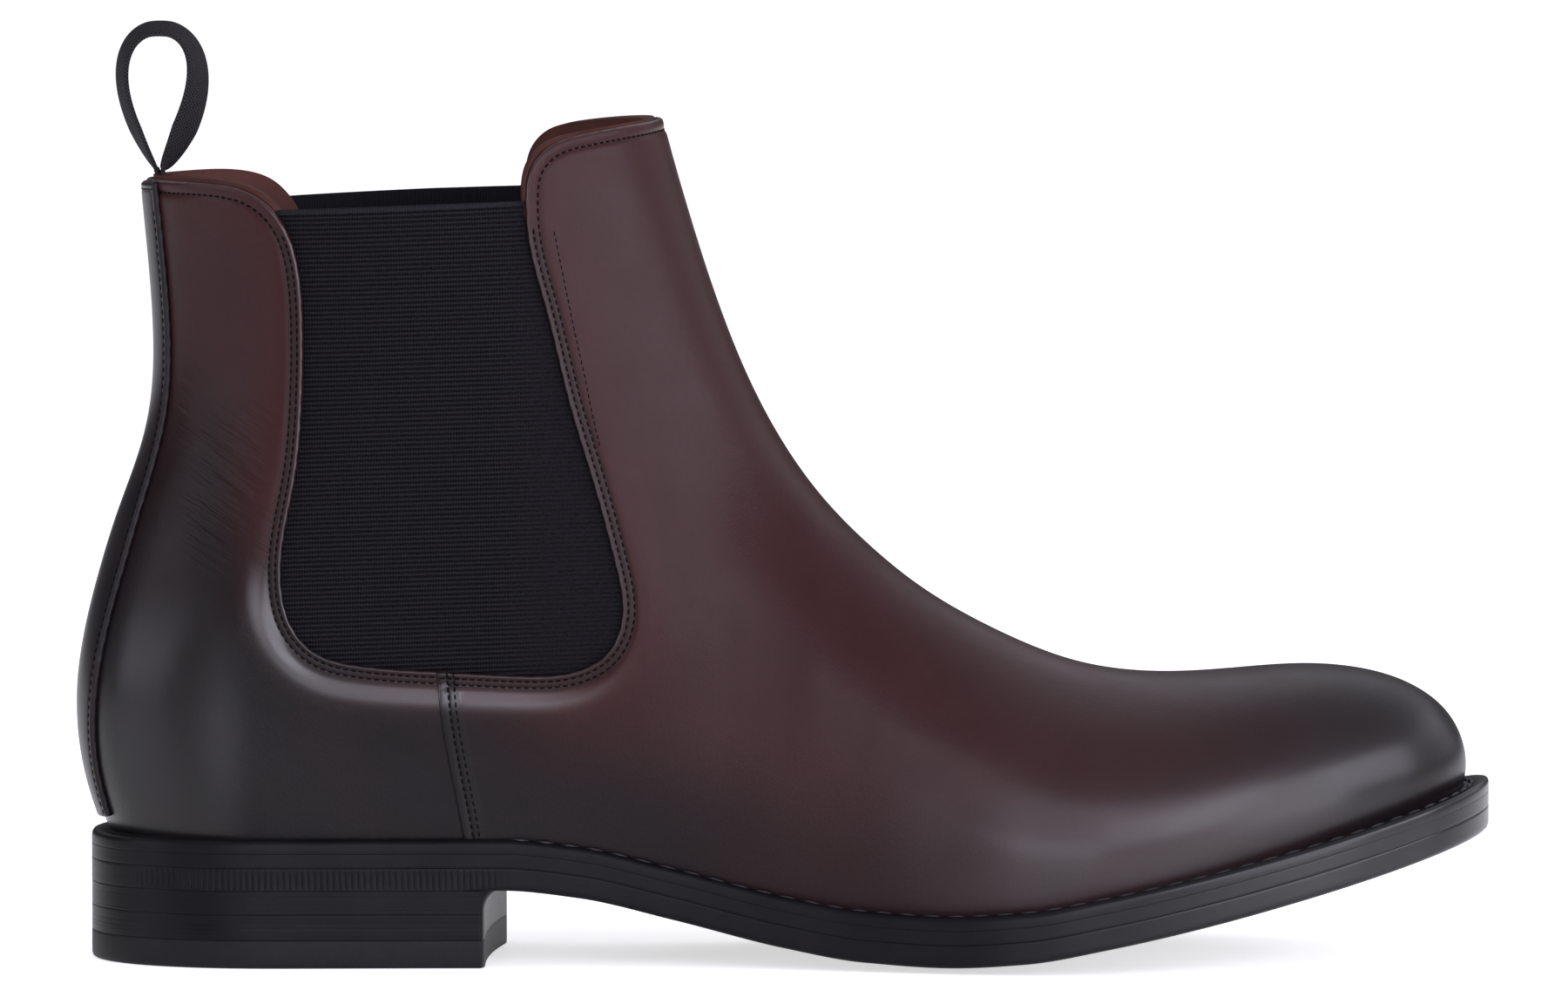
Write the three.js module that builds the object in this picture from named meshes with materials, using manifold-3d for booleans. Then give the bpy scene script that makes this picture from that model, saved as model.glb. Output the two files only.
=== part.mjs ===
// A man's dress chelsea boot for the right foot, EU 42.5, welted, on a stacked leather heel.
// Millimetres. +X points to the toe, +Z up, +Y to the medial side, and the boot stands on z = 0.
//
// The upper is one smooth surface over the last. A point on it has two coordinates: theta goes
// round the boot (0 at the back, PI at the toe or the shin, sin > 0 on the lateral side), and v
// goes from the feather line (0) up to the mouth of the shaft (1). Every leather, elastic and
// lining piece is a layer of that surface, cut to its pattern in side view.
import * as THREE from "three";
import { mergeVertices } from "three/addons/utils/BufferGeometryUtils.js";
import Module from "manifold-3d";

const wasm = await Module();
wasm.setup();

// ---------------------------------------------------------------- driving dimensions
const AROUND = 48; // facets round the boot
const UP = 15; // facets from feather line to mouth
const GAP = 0.3; // between pieces that touch

const OUTSOLE = 4.8; // thicknesses of the sole unit, bottom to top
const MIDSOLE = 2.8;
const WELT = 3.0;
const CORK = 2.9;
const INSOLE = 3.0;
const SOCK = 1.2;
const RIB = 2.2; // width of the rib that the welt is sewn through
const EDGE_LIFT = 1.6; // the forepart's edge stands this much above its middle

const LEATHER = 1.5; // thicknesses of the upper's layers, outside to inside
const STIFFENER = 1.2;
const LINING = 1.0;
const STRAP = 1.0; // the back strap lies on top of the quarters

const HEEL_SEAT_Z = 16.9; // underside of the outsole at the heel
const TOP_LIFT = 6.2;
const HEEL_LIFT = 4.8;
const BREAST_X = { lateral: -64.8, medial: -60.5, hollow: 1.6 };

const SEAM_MARGIN = 8; // the gore runs this far under the leather
const TAPE = { width: 10, thick: 1.0 }; // pull loop webbing
const LOOP_BASE = { x: -136.2, z: 172 };
const LOOP_HEIGHT = 31.4;
const LOOP_WIDTH = 17.6;

const HEEL_NAILS = [[-134, 0], [-118, 18], [-118, -18], [-88, 18], [-88, -18]];
const TOP_NAILS = [[-143, 11], [-143, -11], [-126, 24], [-126, -24], [-76, 25], [-76, -25]];
const NAIL_RADIUS = 1.1;

// ---------------------------------------------------------------- curves
// A monotone cubic through [x, y] pairs: flat runs stay flat, and nothing overshoots.
function curve(points) {
  const n = points.length;
  const x = points.map((p) => p[0]);
  const y = points.map((p) => p[1]);
  const h = x.slice(1).map((b, i) => b - x[i]);
  const d = h.map((w, i) => (y[i + 1] - y[i]) / w);
  const m = y.map((_, i) => {
    if (i === 0) return d[0];
    if (i === n - 1) return d[n - 2];
    if (d[i - 1] * d[i] <= 0) return 0;
    const a = 2 * h[i] + h[i - 1];
    const b = h[i] + 2 * h[i - 1];
    return (a + b) / (a / d[i - 1] + b / d[i]);
  });
  return (t) => {
    const q = Math.min(Math.max(t, x[0]), x[n - 1]);
    let i = 0;
    while (i < n - 2 && q > x[i + 1]) i++;
    const u = (q - x[i]) / h[i];
    return (1 + 2 * u) * (1 - u) ** 2 * y[i] + u * (1 - u) ** 2 * h[i] * m[i]
      + u * u * (3 - 2 * u) * y[i + 1] + u * u * (u - 1) * h[i] * m[i + 1];
  };
}

// A natural cubic spline through [x, y] pairs, for outlines that the eye follows.
function spline(points) {
  const n = points.length;
  const x = points.map((p) => p[0]);
  const y = points.map((p) => p[1]);
  const bend = new Array(n).fill(0);
  const c = new Array(n).fill(0);
  const r = new Array(n).fill(0);
  for (let i = 1; i < n - 1; i++) {
    const before = x[i] - x[i - 1];
    const after = x[i + 1] - x[i];
    const rhs = 6 * ((y[i + 1] - y[i]) / after - (y[i] - y[i - 1]) / before);
    const w = 2 * (before + after) - before * c[i - 1];
    c[i] = after / w;
    r[i] = (rhs - before * r[i - 1]) / w;
  }
  for (let i = n - 2; i > 0; i--) bend[i] = r[i] - c[i] * bend[i + 1];
  return (t) => {
    const q = Math.min(Math.max(t, x[0]), x[n - 1]);
    let i = 0;
    while (i < n - 2 && q > x[i + 1]) i++;
    const h = x[i + 1] - x[i];
    const a = (x[i + 1] - q) / h;
    const b = (q - x[i]) / h;
    return a * y[i] + b * y[i + 1] + ((a ** 3 - a) * bend[i] + (b ** 3 - b) * bend[i + 1]) * h * h / 6;
  };
}

// ---------------------------------------------------------------- the last
// Underside of the outsole along its middle: heel seat, waist, tread, toe spring.
const soleZ = curve([
  [-156, HEEL_SEAT_Z], [-62, HEEL_SEAT_Z], [-45, 15.2], [-24, 10.3], [0, 4.2], [18, 1.0], [36, 0],
  [52, 0.9], [70, 4.1], [90, 8.6], [111, 14.2], [130, 19.8], [145, 24.6], [156, 28.4],
]);
const liftShare = curve([[-60, 0], [20, 1]]);
const edgeLift = (x, y) => EDGE_LIFT * liftShare(x) * (y / 50) ** 2;
const bottomZ = (x, y) => soleZ(x) + edgeLift(x, y);

// Back and front outlines in side view, as [v, x, z].
const BACK = [
  [0, -146.6, 25.3], [0.06, -150.4, 36], [0.12, -152.5, 45], [0.2, -153.3, 54], [0.3, -152.9, 63],
  [0.4, -151.2, 73], [0.5, -148.4, 84], [0.6, -144.5, 96.5], [0.7, -140.0, 109], [0.78, -137.3, 120],
  [0.85, -136.4, 132], [0.92, -137.1, 148], [1, -139.4, 172],
];
const FRONT = [
  [0, 147.6, 34.6], [0.06, 149.4, 43], [0.12, 145.2, 53.6], [0.18, 133, 61.3], [0.24, 116, 63.9],
  [0.3, 99, 63.0], [0.36, 82.5, 62.2], [0.42, 65, 64.3], [0.48, 48, 70.7], [0.54, 32, 79.5],
  [0.6, 19, 89.7], [0.66, 8, 101], [0.72, -1, 113.8], [0.78, -8, 127.2], [0.84, -13.6, 141],
  [0.92, -20.2, 161], [1, -27.8, 187],
];
const backX = spline(BACK.map(([v, x]) => [v, x]));
const backZ = spline(BACK.map(([v, , z]) => [v, z]));
const frontX = spline(FRONT.map(([v, x]) => [v, x]));
const frontZ = spline(FRONT.map(([v, , z]) => [v, z]));

// Half widths of the last by height over the sole's underside: [height, [[x, lateral, medial], ...]].
const WIDTHS = [
  [9, [[-150, 30.4, 30.4], [-100, 31, 30.8], [-60, 30.6, 27.8], [-30, 31.4, 26], [0, 34.8, 29.4],
    [30, 41.2, 39], [52, 46, 45.4], [70, 48, 48], [100, 47.5, 46.5], [150, 47, 45]]],
  [22, [[-150, 31.2, 31.2], [-100, 31.8, 31.6], [-60, 31.8, 30], [-30, 33, 29.4], [0, 36.4, 32.6],
    [30, 42.3, 40.6], [52, 47, 46.5], [70, 49, 48.9], [100, 48.4, 47.4], [150, 47.5, 45]]],
  [38, [[-150, 31.4, 31.4], [-100, 32, 32], [-60, 33, 32.2], [-30, 34.8, 32.8], [0, 37.4, 35.2],
    [30, 41.6, 40.6], [52, 45.4, 45.2], [70, 47, 47], [100, 47, 46.6], [150, 46, 45]]],
  [55, [[-150, 31.2, 31.2], [-100, 32.2, 32.4], [-60, 34.4, 34.4], [-30, 36.2, 35.6], [0, 37.8, 37],
    [30, 40, 39.6], [60, 42.5, 42.5], [150, 43, 43]]],
  [75, [[-150, 30.8, 30.8], [-100, 33, 33.2], [-60, 35.8, 36.2], [-30, 36.8, 37], [0, 37.4, 37.4],
    [150, 38, 38]]],
  [100, [[-150, 31, 31], [-100, 34.6, 34.8], [-60, 37, 37.4], [-30, 37, 37.2], [0, 36.4, 36.4],
    [150, 36, 36]]],
  [130, [[-150, 34, 34], [-100, 37.4, 37.6], [-60, 38, 38.2], [-30, 37.2, 37.2], [150, 36, 36]]],
  [165, [[-150, 38.5, 38.5], [-100, 40.4, 40.4], [-60, 40.2, 40.2], [-30, 39.4, 39.4], [150, 38, 38]]],
  [190, [[-150, 41, 41], [-100, 41.6, 41.6], [-60, 41.5, 41.5], [-30, 41, 41], [150, 40, 40]]],
];
const widthRows = WIDTHS.map(([, row]) => ({
  lateral: curve(row.map(([x, w]) => [x, w])),
  medial: curve(row.map(([x, , w]) => [x, w])),
}));
// Each row's share at a height: a spline that is 1 at its own height and 0 at the others'.
const rowShares = WIDTHS.map((_, i) => spline(WIDTHS.map(([height], k) => [height, k === i ? 1 : 0])));

// How far the wall rounds over from the back, from the front and from the ridge, and how squarely.
const backRound = curve([[0, 37], [0.12, 38], [0.3, 40], [0.5, 42], [0.7, 46], [0.85, 54], [1, 60]]);
const frontRound = curve([
  [0, 80], [0.12, 80], [0.18, 76], [0.24, 64], [0.3, 52], [0.36, 43], [0.42, 37], [0.48, 34], [0.54, 35],
  [0.6, 38], [0.72, 43], [0.84, 44], [1, 43],
]);
const topRound = curve([
  [-27.8, 146], [-20, 134], [-13.6, 118], [-8, 98], [-1, 76], [8, 54], [19, 45], [30, 41], [45, 38],
  [60, 35], [80, 32], [100, 30], [130, 27], [150, 22],
]);
const backPower = curve([[0, 2.25], [0.3, 2.2], [0.6, 2.1], [1, 2]]);
const frontPower = curve([[0, 2.05], [0.12, 2.1], [0.3, 2.05], [0.6, 2], [1, 2]]);
// The ridge line leans to the medial side towards the toe.
const ridgeY = curve([[-160, 0], [-60, 0], [0, 1.2], [70, 3.2], [155, 5]]);

const roll = (t, power) => (1 - (1 - Math.min(Math.max(t, 0), 1)) ** power) ** (1 / power);

// The last in side view: share s runs from the back outline to the front outline.
function sideView(v, s) {
  const x = (1 - s) * backX(v) + s * frontX(v);
  const chord = (1 - s) * backZ(v) + s * frontZ(v);
  const footX = (1 - s) * backX(0) + s * frontX(0);
  const footChord = (1 - s) * backZ(0) + s * frontZ(0);
  const foot = soleZ(footX) + OUTSOLE + MIDSOLE + 0.8;
  return [x, chord + (1 - v) * (foot - footChord)];
}

// The smaller of two distances, eased into the other where they are alike.
const bothWays = (a, b) => a * b / Math.cbrt(a ** 3 + b ** 3 + 1e-12);

// Height of the front outline over x, carried on upwards behind the mouth's front.
const ridge = Array.from({ length: 300 }, (_, i) => sideView(1 - 0.938 * i / 299, 1));
const ridgeAhead = curve(ridge);
const ridgeZ = (x) => ridgeAhead(x) + Math.max(ridge[0][0] - x, 0) * 3.4;

function lastPoint(theta, v) {
  const s = (1 - Math.cos(theta)) / 2;
  const [x, z] = sideView(v, s);
  const length = frontX(v) - backX(v);
  const side = Math.sin(theta) >= 0 ? "lateral" : "medial";
  const height = z - soleZ(x);
  const width = widthRows.reduce((sum, row, i) => sum + rowShares[i](height) * row[side](x), 0);
  const forward = Math.max((1 - s) * length / frontRound(v), 0);
  const upward = Math.max((ridgeZ(x) - z) / topRound(x), 0);
  const round = roll(s * length / backRound(v), backPower(v))
    * roll(bothWays(forward, upward), frontPower(v));
  const y = ridgeY(x) * (1 - round) + (side === "lateral" ? -width : width) * round;
  return new THREE.Vector3(x, y, z + (1 - v) * edgeLift(x, y));
}

// The point at this offset from the last, positive outwards.
function upperPoint(theta, v, offset) {
  const step = 1e-3;
  const low = Math.max(v - step, 0);
  const high = Math.min(v + step, 1);
  const along = lastPoint(theta + step, v).sub(lastPoint(theta - step, v));
  const up = lastPoint(theta, high).sub(lastPoint(theta, low));
  return lastPoint(theta, v).addScaledVector(along.cross(up).normalize(), offset);
}

// ---------------------------------------------------------------- solids
function solidOf(geometry) {
  geometry.deleteAttribute("normal");
  geometry.deleteAttribute("uv");
  const merged = mergeVertices(geometry, 1e-4);
  return new wasm.Manifold(new wasm.Mesh({
    numProp: 3,
    vertProperties: merged.attributes.position.array,
    triVerts: new Uint32Array(merged.index.array),
  }));
}

// A closed solid from points and four-cornered faces. Faces that all point inwards are turned.
function solidFrom(points, faces) {
  const index = faces.flatMap(([a, b, c, d]) => [a, b, c, a, c, d]);
  const geometry = new THREE.BufferGeometry().setFromPoints(points).setIndex(index);
  const solid = solidOf(geometry.toNonIndexed());
  return solid.volume() > 0 ? solid : solidFrom(points, faces.map(([a, b, c, d]) => [a, d, c, b]));
}

// Rows of points, each a closed loop of the same length, skinned into a ring with no ends.
function skinRing(loops) {
  const n = loops[0].length;
  const faces = [];
  loops.forEach((_, i) => {
    const k = (i + 1) % loops.length;
    for (let j = 0; j < n; j++) {
      const next = (j + 1) % n;
      faces.push([i * n + j, i * n + next, k * n + next, k * n + j]);
    }
  });
  return solidFrom(loops.flat(), faces);
}

// A flat polygon in side view, [x, z] points, made solid from y0 to y1.
function sidePrism(points, y0, y1) {
  const shape = new THREE.Shape(points.map(([x, z]) => new THREE.Vector2(x, z)));
  const geometry = new THREE.ExtrudeGeometry(shape, { depth: y1 - y0, bevelEnabled: false, steps: 1 });
  return solidOf(geometry.rotateX(Math.PI / 2).translate(0, y1, 0));
}

// A flat polygon in plan, [x, y] points, made solid from z0 to z1.
function planPrism(points, z0, z1) {
  const shape = new THREE.Shape(points.map(([x, y]) => new THREE.Vector2(x, y)));
  const geometry = new THREE.ExtrudeGeometry(shape, { depth: z1 - z0, bevelEnabled: false, steps: 1 });
  return solidOf(geometry.translate(0, 0, z0));
}

function pinAt([x, y], radius, z0, z1) {
  const geometry = new THREE.CylinderGeometry(radius, radius, z1 - z0, 8);
  return solidOf(geometry.rotateX(Math.PI / 2).translate(x, y, (z0 + z1) / 2));
}

// A layer of the upper between two offsets from the last, all the way round. Both faces are
// split along the same diagonals, so neighbouring layers stay parallel.
function layer(outer, inner) {
  const points = [];
  for (const offset of [outer, inner]) {
    for (let i = 0; i <= UP; i++) {
      for (let j = 0; j < AROUND; j++) {
        points.push(upperPoint(2 * Math.PI * j / AROUND, i / UP, offset));
      }
    }
  }
  const innerStart = (UP + 1) * AROUND;
  const faces = [];
  for (let j = 0; j < AROUND; j++) {
    const next = (j + 1) % AROUND;
    for (let i = 0; i < UP; i++) {
      const corners = [i * AROUND + j, i * AROUND + next, (i + 1) * AROUND + next, (i + 1) * AROUND + j];
      const [a, b, c, d] = corners.map((corner) => corner + innerStart);
      faces.push(corners, [a, d, c, b]);
    }
    const top = UP * AROUND;
    faces.push([j, innerStart + j, innerStart + next, next]);
    faces.push([top + j, top + next, innerStart + top + next, innerStart + top + j]);
  }
  return solidFrom(points, faces);
}

// ---------------------------------------------------------------- patterns in side view
const FAR = 230; // above the boot
const WIDE = 90; // beside it
// The leather's top edge: over the quarter, down round the gore, and up over the front.
const TOP_EDGE = [
  [-148, 170.2], [-134, 170.1], [-122.4, 169.8], [-115.1, 167.8], [-109.2, 162.5], [-105.9, 154.7],
  [-104.5, 143.5], [-104.5, 126.5], [-106.2, 106], [-108.6, 93], [-108.9, 82], [-106.6, 74],
  [-101.5, 68.6], [-93, 66], [-75.3, 64.6], [-56.5, 63.7], [-45.5, 64.6], [-38, 69], [-35, 76.5],
  [-36.4, 88], [-41.4, 106.6], [-46.5, 123.7], [-51.2, 143], [-54.8, 157], [-55.6, 167],
  [-54.4, 174], [-50.2, 178.7], [-43, 181], [-34, 182.4], [-20, 184],
];
const SIDE_SEAM = [[-75.8, 80], [-75.3, 64.6], [-74.6, 57], [-72.4, 43], [-69.6, 28], [-68, 15]];
const GORE_TOP = [[-125, 163.8], [-10, 168.8]];
const COUNTER_TOP = [
  [-160, 77], [-130, 75], [-121, 68], [-114, 57.5], [-100, 53], [-80, 50], [-64, 42], [-50, 20],
];
const PUFF_BACK = [[92, 10], [96, 30], [101, 48], [104, 75], [106, FAR]];
// Depth of the back strap's edge in from the back outline, in side view, by v.
const strapDepth = curve([[0, 2.2], [0.06, 2.6], [0.3, 4], [0.52, 4.4], [0.75, 3.2], [1, 3]]);

// A smooth line through the points, at this many even steps of its length.
function smoothLine(points, count) {
  const lengths = [0];
  for (let i = 1; i < points.length; i++) {
    const [ax, az] = points[i - 1];
    lengths.push(lengths[i - 1] + Math.hypot(points[i][0] - ax, points[i][1] - az));
  }
  const lineX = spline(points.map(([x], i) => [lengths[i], x]));
  const lineZ = spline(points.map(([, z], i) => [lengths[i], z]));
  return Array.from({ length: count + 1 }, (_, i) => {
    const t = lengths.at(-1) * i / count;
    return [lineX(t), lineZ(t)];
  });
}

// The line moved sideways by this distance, to the right of its direction.
function offsetLine(points, distance) {
  return points.map(([x, z], i) => {
    const [ax, az] = points[Math.max(i - 1, 0)];
    const [bx, bz] = points[Math.min(i + 1, points.length - 1)];
    const length = Math.hypot(bx - ax, bz - az);
    return [x + distance * (bz - az) / length, z - distance * (bx - ax) / length];
  });
}

const topEdge = smoothLine(TOP_EDGE, 66);
const seam = smoothLine(SIDE_SEAM, 10);
const goreHole = topEdge.filter(([x, z]) => x > -112 && x < -34 && z < 165);
const aboveEdge = [...topEdge, [-20, FAR], [-148, FAR]];

// Cutters on one side of the boot, between y0 and y1.
const SIDES = { lateral: [-WIDE, 0], medial: [0, WIDE] };
const bothSides = (points) => sidePrism(points, -WIDE, WIDE);
const openMouth = bothSides(aboveEdge);
const leftOf = (line) => [...line, [-200, line.at(-1)[1]], [-200, line[0][1]]];
const rightOf = (line) => [...line, [200, line.at(-1)[1]], [200, line[0][1]]];
const tallSeam = [[-75.8, FAR], ...seam.slice(1), [-68, -20]];
const rearHalf = bothSides(leftOf(offsetLine(tallSeam, GAP / 2)));
const frontHalf = bothSides(rightOf(offsetLine(tallSeam, -GAP / 2)));
const goreField = (side) => {
  const wide = offsetLine(goreHole, SEAM_MARGIN);
  return sidePrism([[wide[0][0], FAR], ...wide, [wide.at(-1)[0], FAR]], ...SIDES[side]);
};
const belowGoreTop = bothSides([...GORE_TOP, [GORE_TOP[1][0], 0], [GORE_TOP[0][0], 0]]);
const counterField = bothSides([...smoothLine(COUNTER_TOP, 20), [-160, 20]]);
const puffField = bothSides(rightOf(PUFF_BACK));

// ---------------------------------------------------------------- the upper
const leatherLayer = layer(0, -LEATHER);
const middleOuter = -LEATHER - GAP;
const middleInner = middleOuter - STIFFENER;
const middleLayer = layer(middleOuter, middleInner);
const liningLayer = layer(middleInner - GAP, middleInner - GAP - LINING);
const innerFace = middleInner - GAP - LINING;

const halfSpace = (side) => {
  const [y0, y1] = side === "lateral" ? [-WIDE, -GAP / 2] : [GAP / 2, WIDE];
  return sidePrism([[-200, -20], [200, -20], [200, FAR], [-200, FAR]], y0, y1);
};

const leather = leatherLayer.subtract(openMouth);
const vamp = leather.intersect(frontHalf);
const quarter = (side) => leather.intersect(rearHalf).intersect(halfSpace(side));
const gore = (side) => middleLayer.intersect(goreField(side)).intersect(belowGoreTop);
const heelCounter = middleLayer.intersect(counterField);
const toePuff = middleLayer.intersect(puffField);
const lining = liningLayer.subtract(openMouth);
const vampLining = lining.intersect(frontHalf);
const quarterLining = lining.intersect(rearHalf);

// The canvas between the leather and the lining, wherever no stiffener, gore or tape end lies.
const goreClearance = offsetLine(goreHole, SEAM_MARGIN + GAP);
const goreSpace = bothSides([[goreClearance[0][0], FAR], ...goreClearance, [goreClearance.at(-1)[0], FAR]]);
const clearOfCounter = COUNTER_TOP.map(([x, z]) => [x + 1, z + 2 * GAP]);
const counterSpace = bothSides([...smoothLine(clearOfCounter, 20), [-160, 20]]);
const tapeSpace = sidePrism([[-160, 149], [-120, 149], [-120, FAR], [-160, FAR]], -TAPE.width / 2 - 1,
  TAPE.width / 2 + 1);
const interlining = middleLayer.subtract(openMouth).subtract(goreSpace).subtract(counterSpace);
const clearOfPuff = bothSides(leftOf(offsetLine(PUFF_BACK, -GAP)));
const vampInterlining = interlining.intersect(frontHalf).intersect(clearOfPuff);
const quarterInterlining = interlining.intersect(rearHalf).subtract(tapeSpace);

// The strap over the back seam, from the top edge down to the welt.
function backStrap() {
  const rows = 15;
  const columns = 5;
  const bottom = 0.035;
  const loops = [];
  for (let i = 0; i <= rows; i++) {
    const v = bottom + (0.992 - bottom) * i / rows;
    const half = Math.acos(1 - 2 * strapDepth(v) / (frontX(v) - backX(v)));
    const at = (j, offset) => upperPoint(half * (2 * j / columns - 1), v, offset);
    const outer = Array.from({ length: columns + 1 }, (_, j) => at(j, GAP + STRAP));
    const inner = Array.from({ length: columns + 1 }, (_, j) => at(columns - j, GAP));
    loops.push([...outer, ...inner]);
  }
  return capped(loops);
}

// Loops of the same length skinned in order, with the first and last filled by strips.
function capped(loops) {
  const n = loops[0].length;
  const faces = [];
  for (let i = 0; i < loops.length - 1; i++) {
    for (let j = 0; j < n; j++) {
      const next = (j + 1) % n;
      faces.push([i * n + j, (i + 1) * n + j, (i + 1) * n + next, i * n + next]);
    }
  }
  const last = (loops.length - 1) * n;
  for (let j = 0; j < n / 2 - 1; j++) {
    faces.push([j, j + 1, n - 2 - j, n - 1 - j]);
    faces.push([last + n - 1 - j, last + n - 2 - j, last + j + 1, last + j]);
  }
  return solidFrom(loops.flat(), faces);
}

// ---------------------------------------------------------------- the sole unit
// Outline of the last in plan at height v, then moved out by a distance that may vary with x.
function planRing(v, out) {
  const ring = Array.from({ length: AROUND }, (_, j) => lastPoint(2 * Math.PI * j / AROUND, v));
  return ring.map((p, j) => {
    const a = ring[(j + AROUND - 1) % AROUND];
    const b = ring[(j + 1) % AROUND];
    const length = Math.hypot(b.x - a.x, b.y - a.y);
    const d = typeof out === "function" ? out(p.x) : out;
    return [p.x + d * (b.y - a.y) / length, p.y - d * (b.x - a.x) / length];
  });
}

const ledge = curve([
  [-156, 5.4], [-125, 3.8], [-60, 2.6], [-20, 2.8], [20, 4.2], [60, 5], [110, 5.6], [156, 7.1],
]);
const soleOutline = planRing(0, ledge);
const atHeight = (outline, height) => outline.map(
  ([x, y]) => new THREE.Vector3(x, y, bottomZ(x, y) + height));

// A sheet of the sole between two heights over its underside, inside an outline.
function plate(outline, low, high) {
  const half = AROUND / 2;
  const across = 4;
  const points = [];
  const row = (j) => {
    const [ax, ay] = outline[j];
    const [bx, by] = outline[(AROUND - j) % AROUND];
    return Array.from({ length: across + 1 }, (_, k) => {
      const t = k / across;
      return [ax + (bx - ax) * t, ay + (by - ay) * t];
    });
  };
  for (const height of [low, high]) {
    for (let j = 0; j <= half; j++) {
      row(j).forEach(([x, y]) => points.push(new THREE.Vector3(x, y, bottomZ(x, y) + height)));
    }
  }
  const n = across + 1;
  const level = (half + 1) * n;
  const faces = [];
  for (let j = 0; j < half; j++) {
    for (let k = 0; k < across; k++) {
      const a = j * n + k;
      faces.push([a, a + 1, a + n + 1, a + n]);
      faces.push([level + a, level + a + n, level + a + n + 1, level + a + 1]);
    }
    const a = j * n;
    faces.push([a, a + n, level + a + n, level + a]);
    faces.push([a + across, level + a + across, level + a + n + across, a + n + across]);
  }
  return solidFrom(points, faces);
}

// A ring of the sole between two outlines and two heights.
function soleRing(outer, inner, low, high) {
  return skinRing([
    atHeight(outer, low), atHeight(inner, low), atHeight(inner, high), atHeight(outer, high),
  ]);
}

const midsoleLow = OUTSOLE + GAP;
const weltLow = midsoleLow + MIDSOLE + GAP;
const insoleLow = weltLow + CORK + GAP;
const sockLow = insoleLow + INSOLE + GAP;
const upperInside = planRing(0, innerFace - 2 * GAP);
const ribInside = planRing(0, innerFace - 2 * GAP - RIB);
const corkOutline = planRing(0, innerFace - 3 * GAP - RIB);

const holes = (solid, places, radius) => places.reduce(
  (s, place) => s.subtract(pinAt(place, radius, -10, 60)), solid);
const withHeelNails = (solid) => holes(solid, HEEL_NAILS, NAIL_RADIUS + GAP);

// Plan of the heel: the sole's outline back from the breast, which is slightly hollow.
function heelPlan(inset) {
  const outline = planRing(0, (x) => ledge(x) - inset);
  const isBack = ([x, y]) => x < (y < 0 ? BREAST_X.lateral : BREAST_X.medial) - 2;
  const medialCount = outline.slice(AROUND / 2).filter(isBack).length;
  const lateral = outline.slice(0, AROUND / 2).filter(isBack);
  const medial = outline.slice(AROUND - medialCount);
  const [lateralY, medialY] = [lateral.at(-1)[1], medial[0][1]];
  const breast = [0, 0.25, 0.5, 0.75, 1].map((t) => [
    BREAST_X.lateral + (BREAST_X.medial - BREAST_X.lateral) * t - BREAST_X.hollow * 4 * t * (1 - t),
    lateralY + (medialY - lateralY) * t,
  ]);
  return [...medial, ...lateral, ...breast];
}

const heelTop = HEEL_SEAT_Z - GAP;
const liftOne = [heelTop - HEEL_LIFT, heelTop];
const liftTwo = [TOP_LIFT + GAP, heelTop - HEEL_LIFT - GAP];

const SHANK = { from: -98, to: 8, half: 6.5, thick: 1.2, low: weltLow + 0.9 };
function shankSolid(grow) {
  const steps = 12;
  const loops = Array.from({ length: steps + 1 }, (_, i) => {
    const x = SHANK.from - grow + (SHANK.to - SHANK.from + 2 * grow) * i / steps;
    const half = SHANK.half + grow;
    const low = soleZ(x) + SHANK.low - grow;
    const high = soleZ(x) + SHANK.low + SHANK.thick + (grow ? 5 : 0);
    return [[half, high], [-half, high], [-half, low], [half, low]]
      .map(([y, z]) => new THREE.Vector3(x, y - 1, z));
  });
  return capped(loops);
}

// ---------------------------------------------------------------- the pull loop
// A teardrop of webbing that stands on the top edge. Its middle line is in the xz plane.
function loopSolid() {
  const steps = 36;
  const loops = Array.from({ length: steps + 1 }, (_, i) => {
    const t = Math.PI * (2 * i / steps - 1);
    const rise = (1 + Math.cos(t)) / 2;
    const x = LOOP_BASE.x + LOOP_WIDTH / 2 * Math.sin(t) * Math.sqrt(rise) * 1.3 + Math.sign(t) * 0.75;
    const z = LOOP_BASE.z + LOOP_HEIGHT * rise;
    return { x, z, turn: 0.12 + 0.42 * Math.max(0, Math.sin(t)) * rise ** 0.3 };
  }).map((p, i, all) => {
    const a = all[Math.max(i - 1, 0)];
    const b = all[Math.min(i + 1, all.length - 1)];
    const along = new THREE.Vector3(b.x - a.x, 0, b.z - a.z).normalize();
    const ease = Math.min(1, 3 * Math.sin(Math.PI * i / steps));
    const across = new THREE.Vector3(0, 1, 0).applyAxisAngle(along, p.turn * ease);
    const face = along.clone().cross(across);
    return [[1, 1], [-1, 1], [-1, -1], [1, -1]].map(([w, h]) => new THREE.Vector3(p.x, 0, p.z)
      .addScaledVector(across, w * TAPE.width / 2).addScaledVector(face, h * TAPE.thick / 2));
  });
  return capped(loops);
}

// The tape's two ends, sewn between the back strap and the lining.
function loopEnds() {
  const loops = [0.93, 0.955, 0.98, 0.992].map((v) => {
    const half = Math.asin(Math.min(1, TAPE.width / 2 / 62));
    const at = (j, offset) => upperPoint(half * 1.55 * (j - 1), v, offset);
    return [0, 1, 2].map((j) => at(j, middleOuter)).concat([2, 1, 0].map((j) => at(j, middleInner)));
  });
  return capped(loops);
}

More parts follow.
